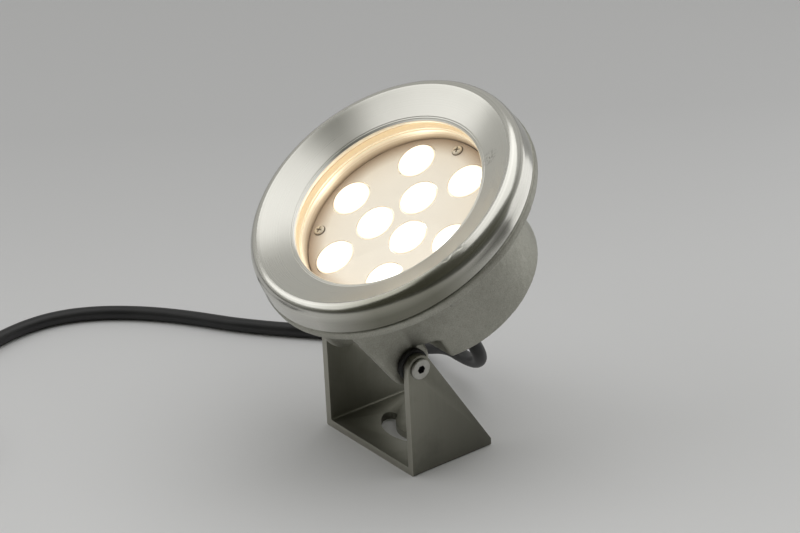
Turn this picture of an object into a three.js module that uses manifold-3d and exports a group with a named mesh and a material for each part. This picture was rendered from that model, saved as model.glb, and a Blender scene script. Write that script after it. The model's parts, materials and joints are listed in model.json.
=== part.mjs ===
// Underwater pond light: a nine-LED stainless steel lamp head that tilts on a U bracket, with its lead.
// Millimetres. The bracket stands on z = 0, +X runs along the tilt axis, the lamp shines towards -Y and up.
import * as THREE from "three";
import { mergeVertices } from "three/addons/utils/BufferGeometryUtils.js";
import Module from "manifold-3d";

const wasm = await Module();
wasm.setup();

// ---- driving dimensions -------------------------------------------------------------------------------

const GAP = 0.3; // clearance between touching pieces

// bracket
const SHEET = 4;
const BEND_CORNER = 1.2; // radius outside the corners between base and ears
const BRACKET_WIDTH = 74;
const BASE_FRONT_Y = -7;
const BASE_DEPTH = 50;
const EAR_REAR_HEIGHT = 4; // the short upright edge behind each ear, before it slants to the top
const PIVOT_HEIGHT = 60;
const EAR_TOP_RADIUS = 7;
const PIVOT_HOLE_RADIUS = 3.3;
const SLOT_CENTRE_Y = 31;
const SLOT_RADIUS = 20.7;
const SLOT_WIDTH = 7.6;
const SLOT_HALF_ANGLE = 53;
const ROUND_HOLE_RADIUS = 3.3;

// lamp head: stations along its axis are counted from the tilt axis, positive towards the window
const LAMP_LEAN = 30.6; // degrees of the lamp's axis from the vertical
const AXIS_OFFSET = 49; // from the tilt axis to the lamp's own axis
const REAR = -8.8;
const STEP = 5.8; // behind this station the can's underside is cut flat
const FLANGE_BACK = 46.1;
const HOUSING_TOP = 51.2;
const SEAM = HOUSING_TOP + GAP;
const RIM_FRONT = 66.6;
const CAN_RADIUS = 51.9;
const CAN_FLAT = -32.6; // height of the flat, from the lamp's axis
const CAN_FRONT = 34; // where the can starts to widen into the neck
const FLANGE_RADIUS = 77.4;
const NECK_RADIUS = 58;
const REAR_WALL = 5;
const POCKET_RADIUS = 52.4;
const PLATE_LEDGE = 42.7;
const BORE_RADIUS = 47.4;
const SPREADER_LEDGE = 24.9;
const REAR_BORE_RADIUS = 44.5;
const FLAT_WALL = 4;
const BEYOND = 60; // a cutter's reach, past every side of the can

// lugs and pivot hardware
const LUG_FACE_X = 29.5;
const LUG_THICKNESS = 7;
const LUG_RADIUS = 12;
const LUG_DROP = 16.6;
const LUG_TOP = 9; // height of the lug's upper edge above the tilt axis
const WASHER_RADIUS = 8.5;
const BOLT_RADIUS = 3;
const BOLT_HEAD_RADIUS = 5.5;
const BOLT_HEAD_HEIGHT = 1.4;
const BOLT_TIP_X = 21.5;

// window, plate and light engine
const GLASS_RADIUS = 57.2;
const GLASS_THICKNESS = 4;
const GASKET_THICKNESS = 0.9;
const PLAY = 0.4; // round the glass, gaskets and lenses
const LIP_BACK = 57.9; // the bezel's lip over the front gasket
const WINDOW_RADIUS = 52;
const PLATE_RADIUS = 52;
const PLATE_THICKNESS = 1.5;
const OUTER_RING = 38.4; // pitch radius of the six outer LEDs
const INNER_RING = 14.6; // pitch radius of the three inner LEDs
const SCREW_RING = 46.8; // pitch radius of the three plate screws
const PLATE_SCREW_RADIUS = 1.1;
const PLATE_SCREW_TIP = 38;
const FIRST_LED_ANGLE = 124;
const LENS_RADIUS = 10.4;
const LENS_BACK = 33.6;
const BOARD_RADIUS = 46.9;
const SPREADER_THICKNESS = 3.9;
const BOARD_THICKNESS = 1.6;
const BOSS_RADIUS = 3.4;
const BOSS_FOOT = 36;
const CLAMP_RING = 71; // pitch radius of the six bezel screws
const FIRST_CLAMP_ANGLE = -19;
const CLAMP_TIP = 59.8;
const POTTING_TOP = 9.4;
const DRIVER_RADIUS = 42;
const DRIVER_THICKNESS = 1.6;

// lead
const CORD_RADIUS = 3.75;
const CORD_BORE = CORD_RADIUS + GAP;
const GLAND_THREAD_RADIUS = 5.9;
const GLAND_HEX = REAR - GAP; // the gland body's hexagon starts here
const GLAND_BARREL = -13.1; // and its barrel here, under the nut
const BARREL_END = -16;
const BARREL_RADIUS = 7;
const NUT_START = GLAND_BARREL - GAP;
const NUT_HEX = 9; // length of the nut's hexagon
const NUT_END = -26;
const GLAND_OFFSET = -7; // from the lamp's axis
const RELIEF_END = -44.8;
const BEND_RADIUS = 30;
const STRAIGHT = 4; // at each end of the bend
const FLOOR_Z = 3.8; // height of the lead's centre where it lies on the floor
const COIL_CENTRE = [-161.75, -212];
const COIL_RADII = [41.25, 48.75]; // of the inner and outer turns
const COIL_LIFT = 1.5; // the coil lies on its tie
const COIL_TOP = COIL_LIFT + 4 * CORD_RADIUS;
const COIL_EXIT_ANGLE = 280;
const TAIL_LENGTH = 70;
const TAIL_FALL = 14; // along the tail, where it starts to come down to the floor
const TIE_WIDTH = 3.6;
const STRAP = 1.1; // thickness of the tie's strap
const TIE_ANGLE = 220;
const CORE_LENGTH = 32;
const CORE_RADIUS = 1.1;

// facets per turn
const LARGE = 60;
const MEDIUM = 36;
const SMALL = 12;

// ---- helpers ------------------------------------------------------------------------------------------

const radians = THREE.MathUtils.degToRad;
const polar = (radius, degrees) => [radius * Math.cos(radians(degrees)), radius * Math.sin(radians(degrees))];

// A closed three.js geometry as a manifold solid.
function solid(geometry) {
  const bare = geometry.clone();
  bare.deleteAttribute("normal");
  bare.deleteAttribute("uv");
  const merged = mergeVertices(bare, 1e-4);
  const faces = [];
  for (let i = 0; i < merged.index.count; i += 3) {
    const [a, b, c] = [0, 1, 2].map((k) => merged.index.getX(i + k));
    if (a !== b && b !== c && c !== a) faces.push(a, b, c);
  }
  return new wasm.Manifold(
    new wasm.Mesh({
      numProp: 3,
      vertProperties: new Float32Array(merged.attributes.position.array),
      triVerts: new Uint32Array(faces),
    }),
  );
}

function geometryOf(body) {
  const { vertProperties, numProp, numVert, triVerts } = body.getMesh();
  const positions = new Float32Array(numVert * 3);
  for (let i = 0; i < numVert; i++) {
    positions.set(vertProperties.subarray(i * numProp, i * numProp + 3), i * 3);
  }
  const indexed = new THREE.BufferGeometry();
  indexed.setAttribute("position", new THREE.BufferAttribute(positions, 3));
  indexed.setIndex(new THREE.BufferAttribute(new Uint32Array(triVerts), 1));
  const faceted = indexed.toNonIndexed();
  faceted.computeVertexNormals();
  return faceted;
}

// A solid turned about +Z from a profile of [radius, z] points, listed either way round.
function turned(profile, facets) {
  const onAxis = profile[0][0] === 0;
  const points = (onAxis ? profile : [...profile, profile[0]]).map(([r, z]) => new THREE.Vector2(r, z));
  if (THREE.ShapeUtils.area(points) < 0) points.reverse();
  return solid(new THREE.LatheGeometry(points, facets).rotateX(Math.PI / 2));
}

const rod = (radius, z0, z1, facets = SMALL) =>
  turned([[0, z0], [radius, z0], [radius, z1], [0, z1]], facets);

const ring = (inner, outer, z0, z1, facets) =>
  turned([[inner, z0], [outer, z0], [outer, z1], [inner, z1]], facets);

// A hexagonal prism along +Z, sized across its flats.
const hexagon = (acrossFlats, z0, z1) => rod(acrossFlats / Math.sqrt(3), z0, z1, 6);

function extruded(shape, depth, curveSegments = 12) {
  return new THREE.ExtrudeGeometry(shape, { depth, bevelEnabled: false, curveSegments });
}

// An outline drawn in (y, z) and extruded along +X from x0 to x1.
function alongX(shape, x0, x1, curveSegments) {
  const turn = new THREE.Matrix4().makeBasis(
    new THREE.Vector3(0, 1, 0),
    new THREE.Vector3(0, 0, 1),
    new THREE.Vector3(1, 0, 0),
  );
  return solid(extruded(shape, x1 - x0, curveSegments).applyMatrix4(turn).translate(x0, 0, 0));
}

// An outline drawn in (x, z) and extruded along Y from y0 to y1.
function alongY(shape, y0, y1) {
  const turn = new THREE.Matrix4().makeBasis(
    new THREE.Vector3(1, 0, 0),
    new THREE.Vector3(0, 0, 1),
    new THREE.Vector3(0, -1, 0),
  );
  return solid(extruded(shape, y1 - y0, 4).applyMatrix4(turn).translate(0, y1, 0));
}

function box(x0, x1, y0, y1, z0, z1) {
  const block = new THREE.BoxGeometry(x1 - x0, y1 - y0, z1 - z0);
  return solid(block.translate((x0 + x1) / 2, (y0 + y1) / 2, (z0 + z1) / 2));
}

// A body made along +Z, laid along +X (side 1) or -X (side -1).
const sideways = (body, side) => body.rotate([0, 90 * side, 0]);

function mesh(name, body, [color, roughness, metalness]) {
  const material = new THREE.MeshStandardMaterial({ color, roughness, metalness });
  const made = new THREE.Mesh(geometryOf(body), material);
  made.name = name;
  return made;
}

const STAINLESS = [0xb9b7ae, 0.35, 1];
const CAST_STAINLESS = [0x8f8d84, 0.55, 1];
const PLATE_STEEL = [0x6d6c62, 0.42, 1];
const SCREW_STEEL = [0xc4c3bc, 0.4, 1];
const RUBBER = [0x151617, 0.75, 0];
const CLEAR = [0xf3f7f7, 0.05, 0];
const WHITE = [0xf4ecdc, 0.5, 0];
const SILICONE = [0x9e998c, 0.6, 0];
const PHOSPHOR = [0xffd9a0, 0.4, 0];
const ALUMINIUM = [0xb8bbbd, 0.45, 1];
const BOARD = [0x1f5a3c, 0.55, 0];
const RESIN = [0x25282b, 0.6, 0];
const TIE_NYLON = [0x1d1e20, 0.5, 0];
const BROWN = [0x5b3320, 0.5, 0];
const BLUE = [0x24457f, 0.5, 0];

// ---- bracket ------------------------------------------------------------------------------------------

function makeBracket() {
  const half = BRACKET_WIDTH / 2;
  const rearY = BASE_FRONT_Y + BASE_DEPTH;
  const top = PIVOT_HEIGHT + EAR_TOP_RADIUS + 1;

  const channel = new THREE.Shape();
  channel.moveTo(-half + BEND_CORNER, 0);
  channel.lineTo(half - BEND_CORNER, 0);
  channel.absarc(half - BEND_CORNER, BEND_CORNER, BEND_CORNER, -Math.PI / 2, 0, false);
  channel.lineTo(half, top);
  channel.lineTo(half - SHEET, top);
  channel.lineTo(half - SHEET, SHEET);
  channel.lineTo(-half + SHEET, SHEET);
  channel.lineTo(-half + SHEET, top);
  channel.lineTo(-half, top);
  channel.lineTo(-half, BEND_CORNER);
  channel.absarc(-half + BEND_CORNER, BEND_CORNER, BEND_CORNER, Math.PI, 1.5 * Math.PI, false);

  // the slanted rear edge of an ear touches the round top where the edge's normal points
  const reach = Math.hypot(rearY, EAR_REAR_HEIGHT - PIVOT_HEIGHT);
  const bearing = Math.atan2(EAR_REAR_HEIGHT - PIVOT_HEIGHT, rearY);
  const touch = bearing + Math.acos(EAR_TOP_RADIUS / reach);
  const side = new THREE.Shape();
  side.moveTo(BASE_FRONT_Y, 0);
  side.lineTo(rearY, 0);
  side.lineTo(rearY, EAR_REAR_HEIGHT);
  side.absarc(0, PIVOT_HEIGHT, EAR_TOP_RADIUS, touch, Math.PI, false);

  const slot = new THREE.Shape();
  const from = radians(-90 - SLOT_HALF_ANGLE);
  const to = radians(-90 + SLOT_HALF_ANGLE);
  const end = SLOT_WIDTH / 2;
  const [endX, endY] = [SLOT_RADIUS * Math.cos(to), SLOT_CENTRE_Y + SLOT_RADIUS * Math.sin(to)];
  slot.absarc(0, SLOT_CENTRE_Y, SLOT_RADIUS + end, from, to, false);
  slot.absarc(endX, endY, end, to, to + Math.PI, false);
  slot.absarc(0, SLOT_CENTRE_Y, SLOT_RADIUS - end, to, from, true);
  slot.absarc(-endX, endY, end, from + Math.PI, from + 2 * Math.PI, false);

  const pivotHole = sideways(rod(PIVOT_HOLE_RADIUS, -half - 1, half + 1), 1);
  return alongY(channel, BASE_FRONT_Y, rearY)
    .intersect(alongX(side, -half - 1, half + 1))
    .subtract(pivotHole.translate([0, 0, PIVOT_HEIGHT]))
    .subtract(solid(extruded(slot, SHEET + 2).translate(0, 0, -1)))
    .subtract(rod(ROUND_HOLE_RADIUS, -1, SHEET + 1, 16).translate([0, SLOT_CENTRE_Y, 0]));
}

// ---- lamp head, about its own axis --------------------------------------------------------------------

function makeBezel() {
  const body = turned(
    [
      [GLASS_RADIUS + PLAY, SEAM],
      [76.8, SEAM],
      [77.1, SEAM + 0.4],
      [76.2, 58.5],
      [75.7, 61.6],
      [74.4, 64.2],
      [72.3, 66],
      [69.9, RIM_FRONT],
      [69.6, RIM_FRONT],
      [66.5, 64.6],
      [60.5, 62],
      [53.4, 59.5],
      [WINDOW_RADIUS, 58.7],
      [WINDOW_RADIUS, LIP_BACK],
      [GLASS_RADIUS + PLAY, LIP_BACK],
    ],
    LARGE,
  );
  return clampPositions().reduce(
    (left, [x, y]) => left.subtract(rod(2.2, SEAM - 1, CLAMP_TIP + 0.8, 8).translate([x, y, 0])),
    body,
  );
}

const makeGasket = (opening, z0, z1) => ring(opening + PLAY, GLASS_RADIUS, z0, z1, LARGE);

// The lug's outline in (y, z) about the tilt axis: a plate that ends round the pivot.
function lugOutline() {
  const front = FLANGE_BACK + 1;
  const bearing = Math.atan2(front, -LUG_DROP);
  const touch = bearing + Math.acos(LUG_RADIUS / Math.hypot(front, LUG_DROP));
  const outline = new THREE.Shape();
  outline.moveTo(-LUG_DROP, front);
  outline.absarc(0, 0, LUG_RADIUS, touch, 2 * Math.PI, false);
  outline.lineTo(LUG_RADIUS, STEP + 3);
  outline.lineTo(LUG_TOP, STEP + 6.2);
  outline.lineTo(LUG_TOP, front);
  return outline;
}

function makeHousing() {
  const outside = turned(
    [
      [0, REAR],
      [CAN_RADIUS - 1.2, REAR],
      [CAN_RADIUS - 0.4, REAR + 0.4],
      [CAN_RADIUS, REAR + 1.2],
      [CAN_RADIUS, CAN_FRONT],
      [NECK_RADIUS - 1, 39],
      [NECK_RADIUS, FLANGE_BACK],
      [FLANGE_RADIUS - 0.5, FLANGE_BACK],
      [FLANGE_RADIUS, FLANGE_BACK + 0.5],
      [FLANGE_RADIUS, HOUSING_TOP - 0.5],
      [FLANGE_RADIUS - 0.5, HOUSING_TOP],
      [0, HOUSING_TOP],
    ],
    LARGE,
  );

  let body = outside.subtract(box(-BEYOND, BEYOND, -BEYOND, CAN_FLAT, REAR - 1, STEP));
  for (const side of [1, -1]) {
    const [x0, x1] = [LUG_FACE_X - LUG_THICKNESS, LUG_FACE_X].map((x) => x * side).sort((a, b) => a - b);
    const lug = alongX(lugOutline(), x0, x1, 16).translate([0, -AXIS_OFFSET, 0]);
    const toPivot = (cutter) => sideways(cutter, side).translate([0, -AXIS_OFFSET, 0]);
    body = body
      .add(lug)
      .subtract(toPivot(rod(WASHER_RADIUS + 0.6, LUG_FACE_X, BEYOND, 24)))
      .subtract(toPivot(rod(PIVOT_HOLE_RADIUS, LUG_FACE_X - LUG_THICKNESS - 1, BEYOND)));
  }

  let bore = rod(BORE_RADIUS, SPREADER_LEDGE, PLATE_LEDGE + 0.1, MEDIUM);
  for (const [x, y] of screwPositions()) {
    bore = bore.subtract(rod(BOSS_RADIUS, BOSS_FOOT, PLATE_LEDGE + 1).translate([x, y, 0]));
  }
  const rearBore = rod(REAR_BORE_RADIUS, REAR + REAR_WALL, SPREADER_LEDGE + 0.1, MEDIUM).subtract(
    box(-BEYOND, BEYOND, -BEYOND, CAN_FLAT + FLAT_WALL, REAR, STEP + FLAT_WALL),
  );
  const inside = rod(POCKET_RADIUS, PLATE_LEDGE, HOUSING_TOP + 1, LARGE).add(bore).add(rearBore);
  const glandHole = rod(GLAND_THREAD_RADIUS + GAP, REAR - 1, 0).translate([0, GLAND_OFFSET, 0]);
  body = body.subtract(inside).subtract(glandHole);
  for (const [x, y] of clampPositions()) {
    body = body.subtract(rod(2.3, FLANGE_BACK - 1, HOUSING_TOP + 1, 8).translate([x, y, 0]));
  }
  for (const [x, y] of screwPositions()) {
    const hole = rod(PLATE_SCREW_RADIUS + GAP, PLATE_SCREW_TIP - 0.5, PLATE_LEDGE + 1, 8);
    body = body.subtract(hole.translate([x, y, 0]));
  }
  return body;
}

const outerPositions = () => [0, 1, 2, 3, 4, 5].map((k) => polar(OUTER_RING, FIRST_LED_ANGLE - 60 * k));
const innerPositions = () => [0, 1, 2].map((k) => polar(INNER_RING, FIRST_LED_ANGLE - 30 - 120 * k));
const screwPositions = () => [0, 1, 2].map((k) => polar(SCREW_RING, FIRST_LED_ANGLE - 30 - 120 * k));
const clampPositions = () => [0, 1, 2, 3, 4, 5].map((k) => polar(CLAMP_RING, FIRST_CLAMP_ANGLE + 60 * k));
const ledPositions = () => [...outerPositions(), ...innerPositions()];

const PLATE_BACK = PLATE_LEDGE + GAP;
const PLATE_FRONT = PLATE_BACK + PLATE_THICKNESS;
const SPREADER_BACK = SPREADER_LEDGE + GAP;
const SPREADER_FRONT = SPREADER_BACK + SPREADER_THICKNESS;
const BOARD_BACK = SPREADER_FRONT + GAP;
const BOARD_FRONT = BOARD_BACK + BOARD_THICKNESS;

function makePlate() {
  let plate = rod(PLATE_RADIUS, PLATE_BACK, PLATE_FRONT, LARGE);
  for (const [x, y] of ledPositions()) {
    plate = plate.subtract(rod(LENS_RADIUS + PLAY, PLATE_BACK - 1, PLATE_FRONT + 1, 20).translate([x, y, 0]));
  }
  for (const [x, y] of screwPositions()) {
    plate = plate.subtract(rod(1.8, PLATE_BACK - 1, PLATE_FRONT + 1, 10).translate([x, y, 0]));
  }
  return plate;
}

// A collimator lens: a shallow front disc on a cone, hollowed at the back over its LED.
const makeLens = () =>
  turned(
    [
      [0, PLATE_FRONT + 0.7],
      [LENS_RADIUS - 2, PLATE_FRONT + 0.4],
      [LENS_RADIUS, PLATE_FRONT],
      [LENS_RADIUS, PLATE_BACK + 0.2],
      [LENS_RADIUS - 2, PLATE_BACK + 0.2],
      [4.6, LENS_BACK],
      [3.1, LENS_BACK],
      [3.1, LENS_BACK + 2],
      [0, LENS_BACK + 2],
    ],
    16,
  );

function makeEmitter() {
  const seat = BOARD_FRONT + GAP;
  const profile = [[0, 0], [3.4, 0], [3.4, 0.8], [2.6, 0.8], [1.6, 2.9], [0, 3.3]];
  return turned(profile, 10).translate([0, 0, seat]);
}

// A pan-head screw pointing down, with a cross recess.
function makePlateScrew() {
  const seat = PLATE_FRONT + GAP;
  const arm = (length, width) => box(-length / 2, length / 2, -width / 2, width / 2, seat + 0.7, seat + 3);
  return turned(
    [
      [0, PLATE_SCREW_TIP],
      [PLATE_SCREW_RADIUS, PLATE_SCREW_TIP],
      [PLATE_SCREW_RADIUS, seat],
      [2.9, seat],
      [2.7, seat + 1],
      [1.6, seat + 1.6],
      [0, seat + 1.7],
    ],
    14,
  ).subtract(arm(2.8, 0.7).add(arm(0.7, 2.8)));
}

// A disc that drops past the three bosses.
function makeNotchedDisc(radius, z0, z1, centreHole) {
  let disc = ring(centreHole, radius, z0, z1, MEDIUM);
  for (const [x, y] of screwPositions()) {
    disc = disc.subtract(rod(BOSS_RADIUS + 0.6, z0 - 1, z1 + 1).translate([x, y, 0]));
  }
  return disc;
}

// The bezel screws come from behind: a round head with a hexagon socket, and the shank up through the flange.
function makeClampScrew() {
  const seat = FLANGE_BACK - GAP;
  return turned(
    [
      [0, seat - 4],
      [3.1, seat - 4],
      [3.5, seat - 3.6],
      [3.5, seat],
      [1.9, seat],
      [1.9, CLAMP_TIP],
      [0, CLAMP_TIP],
    ],
    12,
  ).subtract(hexagon(3, seat - 5, seat - 2));
}

function makePotting() {
  return rod(REAR_BORE_RADIUS - GAP, REAR + REAR_WALL + GAP, POTTING_TOP, MEDIUM)
    .subtract(box(-BEYOND, BEYOND, -BEYOND, CAN_FLAT + FLAT_WALL + GAP, REAR, POTTING_TOP + 1))
    .subtract(rod(CORD_BORE, REAR, POTTING_TOP + 1).translate([0, GLAND_OFFSET, 0]));
}

// Each component is a block: x0, x1, y0, y1 and its height above the board.
function makeDriverBoard() {
  const back = POTTING_TOP + 0.7;
  const top = back + DRIVER_THICKNESS;
  const parts = [
    [-26, -6, 4, 22, 7.5],
    [2, 20, 8, 24, 5],
    [-24, -10, -24, -12, 4.2],
    [8, 26, -26, -14, 3.2],
  ];
  return parts.reduce(
    (board, [x0, x1, y0, y1, height]) => board.add(box(x0, x1, y0, y1, top - 0.5, top + height)),
    rod(DRIVER_RADIUS, back, top, MEDIUM),
  );
}

// ---- gland and lead outlet, about the gland's own axis ------------------------------------------------

const makeGlandBody = () =>
  ring(CORD_BORE, GLAND_THREAD_RADIUS, GLAND_HEX - 0.1, REAR + REAR_WALL, 20)
    .add(hexagon(17, GLAND_BARREL, GLAND_HEX).subtract(rod(CORD_BORE, -20, 0, 20)))
    .add(ring(CORD_BORE, BARREL_RADIUS, BARREL_END, GLAND_BARREL + 0.1, 20));

const makeGlandNut = () =>
  hexagon(18, NUT_START - NUT_HEX, NUT_START)
    .add(
      turned(
        [
          [0, NUT_START - NUT_HEX],
          [8.6, NUT_START - NUT_HEX],
          [7.4, NUT_END + 1],
          [6.2, NUT_END],
          [0, NUT_END],
        ],
        20,
      ),
    )
    .subtract(rod(BARREL_RADIUS + GAP, NUT_END + 4, 0, 20))
    .subtract(rod(CORD_BORE, NUT_END - 1, 0, 20));

const makeGlandSeal = () => ring(CORD_BORE, BARREL_RADIUS - 0.1, NUT_END + 4.3, BARREL_END - GAP, 16);

const makeStrainRelief = () =>
  turned(
    [
      [CORD_BORE, NUT_END - GAP],
      [6.3, NUT_END - GAP],
      [6, NUT_END - 4],
      [4.7, RELIEF_END],
      [CORD_BORE, RELIEF_END],
    ],
    16,
  );

// ---- lead ---------------------------------------------------------------------------------------------

// Places in the world of points of the lamp head: y up from the tilt axis, z along the lamp's axis.
function fromLamp(x, y, z) {
  const turn = new THREE.Euler(radians(LAMP_LEAN), 0, 0);
  return new THREE.Vector3(x, y, z).applyEuler(turn).add(new THREE.Vector3(0, 0, PIVOT_HEIGHT));
}

const OUTLET_DIRECTION = fromLamp(0, 0, -1).sub(fromLamp(0, 0, 0));

// The lead drops straight out of the strain relief and turns towards -X in one bend.
function outletPoints() {
  const aside = new THREE.Vector3(-1, 0, 0);
  const start = fromLamp(0, AXIS_OFFSET + GLAND_OFFSET, RELIEF_END - GAP);
  const bend = [0, 15, 30, 45, 60, 75, 90].map(radians).map((angle) =>
    start
      .clone()
      .addScaledVector(OUTLET_DIRECTION, STRAIGHT + BEND_RADIUS * Math.sin(angle))
      .addScaledVector(aside, BEND_RADIUS * (1 - Math.cos(angle))),
  );
  return [start, ...bend, bend.at(-1).clone().addScaledVector(aside, STRAIGHT)];
}

// Where it comes down to the floor and runs off to the coil.
const FLOOR_ROUTE = [
  [-48, 76.2, 11.2],
  [-58, 75.6, 7.3],
  [-70, 73.2, 5.1],
  [-82, 69, 4],
  [-94, 62.8, FLOOR_Z],
  [-108, 53.4, FLOOR_Z],
  [-122, 42.2, FLOOR_Z],
  [-138, 29.2, FLOOR_Z],
  [-156, 16.4, FLOOR_Z],
  [-174, 5.6, FLOOR_Z],
  [-190, -5.4, FLOOR_Z],
  [-204, -17.6, FLOOR_Z],
  [-215, -30.2, FLOOR_Z],
  [-223, -43.6, FLOOR_Z],
  [-227.5, -58, FLOOR_Z],
  [-228.4, -73, FLOOR_Z],
  [-226.6, -88, FLOOR_Z],
  [-223.2, -104, FLOOR_Z],
  [-219, -121, FLOOR_Z],
  [-215.5, -138, FLOOR_Z],
  [-212.6, -155, FLOOR_Z],
  [-211, -170, FLOOR_Z + 0.6],
  [-210.5, -183.2, FLOOR_Z + 1.2],
];

function tube(points, steps) {
  const path = new THREE.CatmullRomCurve3(points, false, "centripetal");
  const section = new THREE.Shape(
    Array.from({ length: 10 }, (_, k) => new THREE.Vector2(...polar(CORD_RADIUS, 36 * k))),
  );
  return solid(new THREE.ExtrudeGeometry(section, { steps, bevelEnabled: false, extrudePath: path }));
}

function makeOutletStretch() {
  return tube(outletPoints(), 6);
}

function makeFloorRun() {
  const [before, last] = outletPoints().slice(-2);
  const step = last.clone().sub(before).normalize();
  const start = last.clone().addScaledVector(step, GAP);
  const level = start.clone().addScaledVector(step, STRAIGHT);
  return tube([start, level, ...FLOOR_ROUTE.map((p) => new THREE.Vector3(...p))], 26);
}

// The outer shape of the coil's turns: two side by side and two high.
function makeCoil() {
  const [low, high] = [COIL_LIFT, COIL_TOP];
  const [inner, outer] = [COIL_RADII[0] - CORD_RADIUS, COIL_RADII[1] + CORD_RADIUS];
  const bevel = 2.2;
  return turned(
    [
      [inner, low + bevel],
      [inner + bevel, low],
      [outer - bevel, low],
      [outer, low + bevel],
      [outer, high - bevel],
      [outer - bevel, high],
      [inner + bevel, high],
      [inner, high - bevel],
    ],
    MEDIUM,
  ).translate([...COIL_CENTRE, 0]);
}

// A point of the free end, counted along it from where it leaves the coil's top layer.
function tailPoint(along) {
  const [x, y] = polar(COIL_RADII[1], COIL_EXIT_ANGLE);
  const [dx, dy] = polar(along, COIL_EXIT_ANGLE + 90);
  const top = COIL_LIFT + 3 * CORD_RADIUS;
  const share = THREE.MathUtils.clamp((along - TAIL_FALL) / (TAIL_LENGTH - TAIL_FALL), 0, 1);
  const fall = (1 - Math.cos(Math.PI * share)) / 2;
  return new THREE.Vector3(COIL_CENTRE[0] + x + dx, COIL_CENTRE[1] + y + dy, top + (FLOOR_Z - top) * fall);
}

const makeTail = () => tube([29, 37, 45, 53, 61, TAIL_LENGTH].map(tailPoint), 5);

// One stripped core wire, beside the middle of the free end.
function makeCore(side) {
  const from = tailPoint(TAIL_LENGTH + GAP);
  const heading = COIL_EXIT_ANGLE + 90;
  const [sx, sy] = polar(1.5 * side, heading + 90);
  return rod(CORE_RADIUS, 0, CORE_LENGTH, 8)
    .rotate([0, 90, 0])
    .rotate([0, 3, 0])
    .rotate([0, 0, heading + 3 * side])
    .translate([from.x + sx, from.y + sy, from.z]);
}

// A strap round the coil's section, with its lock on the outside.
function makeTie() {
  const [inner, outer] = [COIL_RADII[0] - CORD_RADIUS - GAP, COIL_RADII[1] + CORD_RADIUS + GAP];
  const low = COIL_LIFT - GAP;
  const high = COIL_TOP + GAP;
  const half = TIE_WIDTH / 2;
  const around = box(inner - STRAP, outer + STRAP, -half, half, low - STRAP, high + STRAP);
  const lock = box(outer + STRAP - 0.1, outer + STRAP + 3.9, -half - 0.8, half + 0.8, 6, 11);
  return around
    .subtract(box(inner, outer, -half - 1, half + 1, low, high))
    .add(lock)
    .rotate([0, 0, TIE_ANGLE])
    .translate([...COIL_CENTRE, 0]);
}

// ---- pivot hardware, about the tilt axis --------------------------------------------------------------

function makePivotBolt(side) {
  const seat = BRACKET_WIDTH / 2 + GAP;
  const face = seat + BOLT_HEAD_HEIGHT;
  const body = turned(
    [
      [0, BOLT_TIP_X],
      [BOLT_RADIUS, BOLT_TIP_X],
      [BOLT_RADIUS, seat],
      [BOLT_HEAD_RADIUS, seat],
      [BOLT_HEAD_RADIUS, face - 0.6],
      [BOLT_HEAD_RADIUS - 0.7, face],
      [0, face],
    ],
    20,
  ).subtract(hexagon(4, face - 2.4, face + 1));
  return sideways(body, side);
}

function makeWasher(side) {
  const outer = BRACKET_WIDTH / 2 - SHEET - GAP;
  return sideways(ring(PIVOT_HOLE_RADIUS, WASHER_RADIUS, LUG_FACE_X + GAP, outer, 24), side);
}

// ---- assembly -----------------------------------------------------------------------------------------

const pondLight = new THREE.Group();

pondLight.add(mesh("bracket", makeBracket(), PLATE_STEEL));

const lamp = new THREE.Group(); // turns about the tilt axis
lamp.position.z = PIVOT_HEIGHT;
lamp.rotation.x = radians(LAMP_LEAN);
pondLight.add(lamp);

for (const [word, side] of [["right", 1], ["left", -1]]) {
  lamp.add(mesh(`pivot_bolt_${word}`, makePivotBolt(side), SCREW_STEEL));
  lamp.add(mesh(`pivot_washer_${word}`, makeWasher(side), RUBBER));
}

const head = new THREE.Group(); // everything about the lamp's own axis
head.position.y = AXIS_OFFSET;
lamp.add(head);

const REAR_GASKET_TOP = SEAM + GASKET_THICKNESS;
const GLASS_BACK = REAR_GASKET_TOP + GAP;
const GLASS_FRONT = GLASS_BACK + GLASS_THICKNESS;

head.add(mesh("bezel", makeBezel(), STAINLESS));
head.add(mesh("housing", makeHousing(), CAST_STAINLESS));
head.add(mesh("window_glass", rod(GLASS_RADIUS, GLASS_BACK, GLASS_FRONT, LARGE), CLEAR));
head.add(mesh("front_gasket", makeGasket(WINDOW_RADIUS, GLASS_FRONT + GAP, LIP_BACK - GAP), SILICONE));
head.add(mesh("rear_gasket", makeGasket(POCKET_RADIUS, SEAM, REAR_GASKET_TOP), SILICONE));
head.add(mesh("led_plate", makePlate(), WHITE));
head.add(mesh("led_board", makeNotchedDisc(BOARD_RADIUS, BOARD_BACK, BOARD_FRONT, 3), WHITE));
head.add(mesh("heat_spreader", makeNotchedDisc(BOARD_RADIUS, SPREADER_BACK, SPREADER_FRONT, 6), ALUMINIUM));
head.add(mesh("driver_board", makeDriverBoard(), BOARD));
head.add(mesh("potting", makePotting(), RESIN));

ledPositions().forEach(([x, y], k) => {
  const lens = mesh(`lens_${k + 1}`, makeLens(), CLEAR);
  const emitter = mesh(`led_${k + 1}`, makeEmitter(), PHOSPHOR);
  for (const piece of [lens, emitter]) {
    piece.position.set(x, y, 0);
    head.add(piece);
  }
});

screwPositions().forEach(([x, y], k) => {
  const screw = mesh(`plate_screw_${k + 1}`, makePlateScrew(), SCREW_STEEL);
  screw.position.set(x, y, 0);
  head.add(screw);
});

clampPositions().forEach(([x, y], k) => {
  const screw = mesh(`bezel_screw_${k + 1}`, makeClampScrew(), SCREW_STEEL);
  screw.position.set(x, y, 0);
  head.add(screw);
});

const outlet = new THREE.Group(); // everything about the gland's own axis
outlet.position.y = GLAND_OFFSET;
head.add(outlet);

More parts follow.
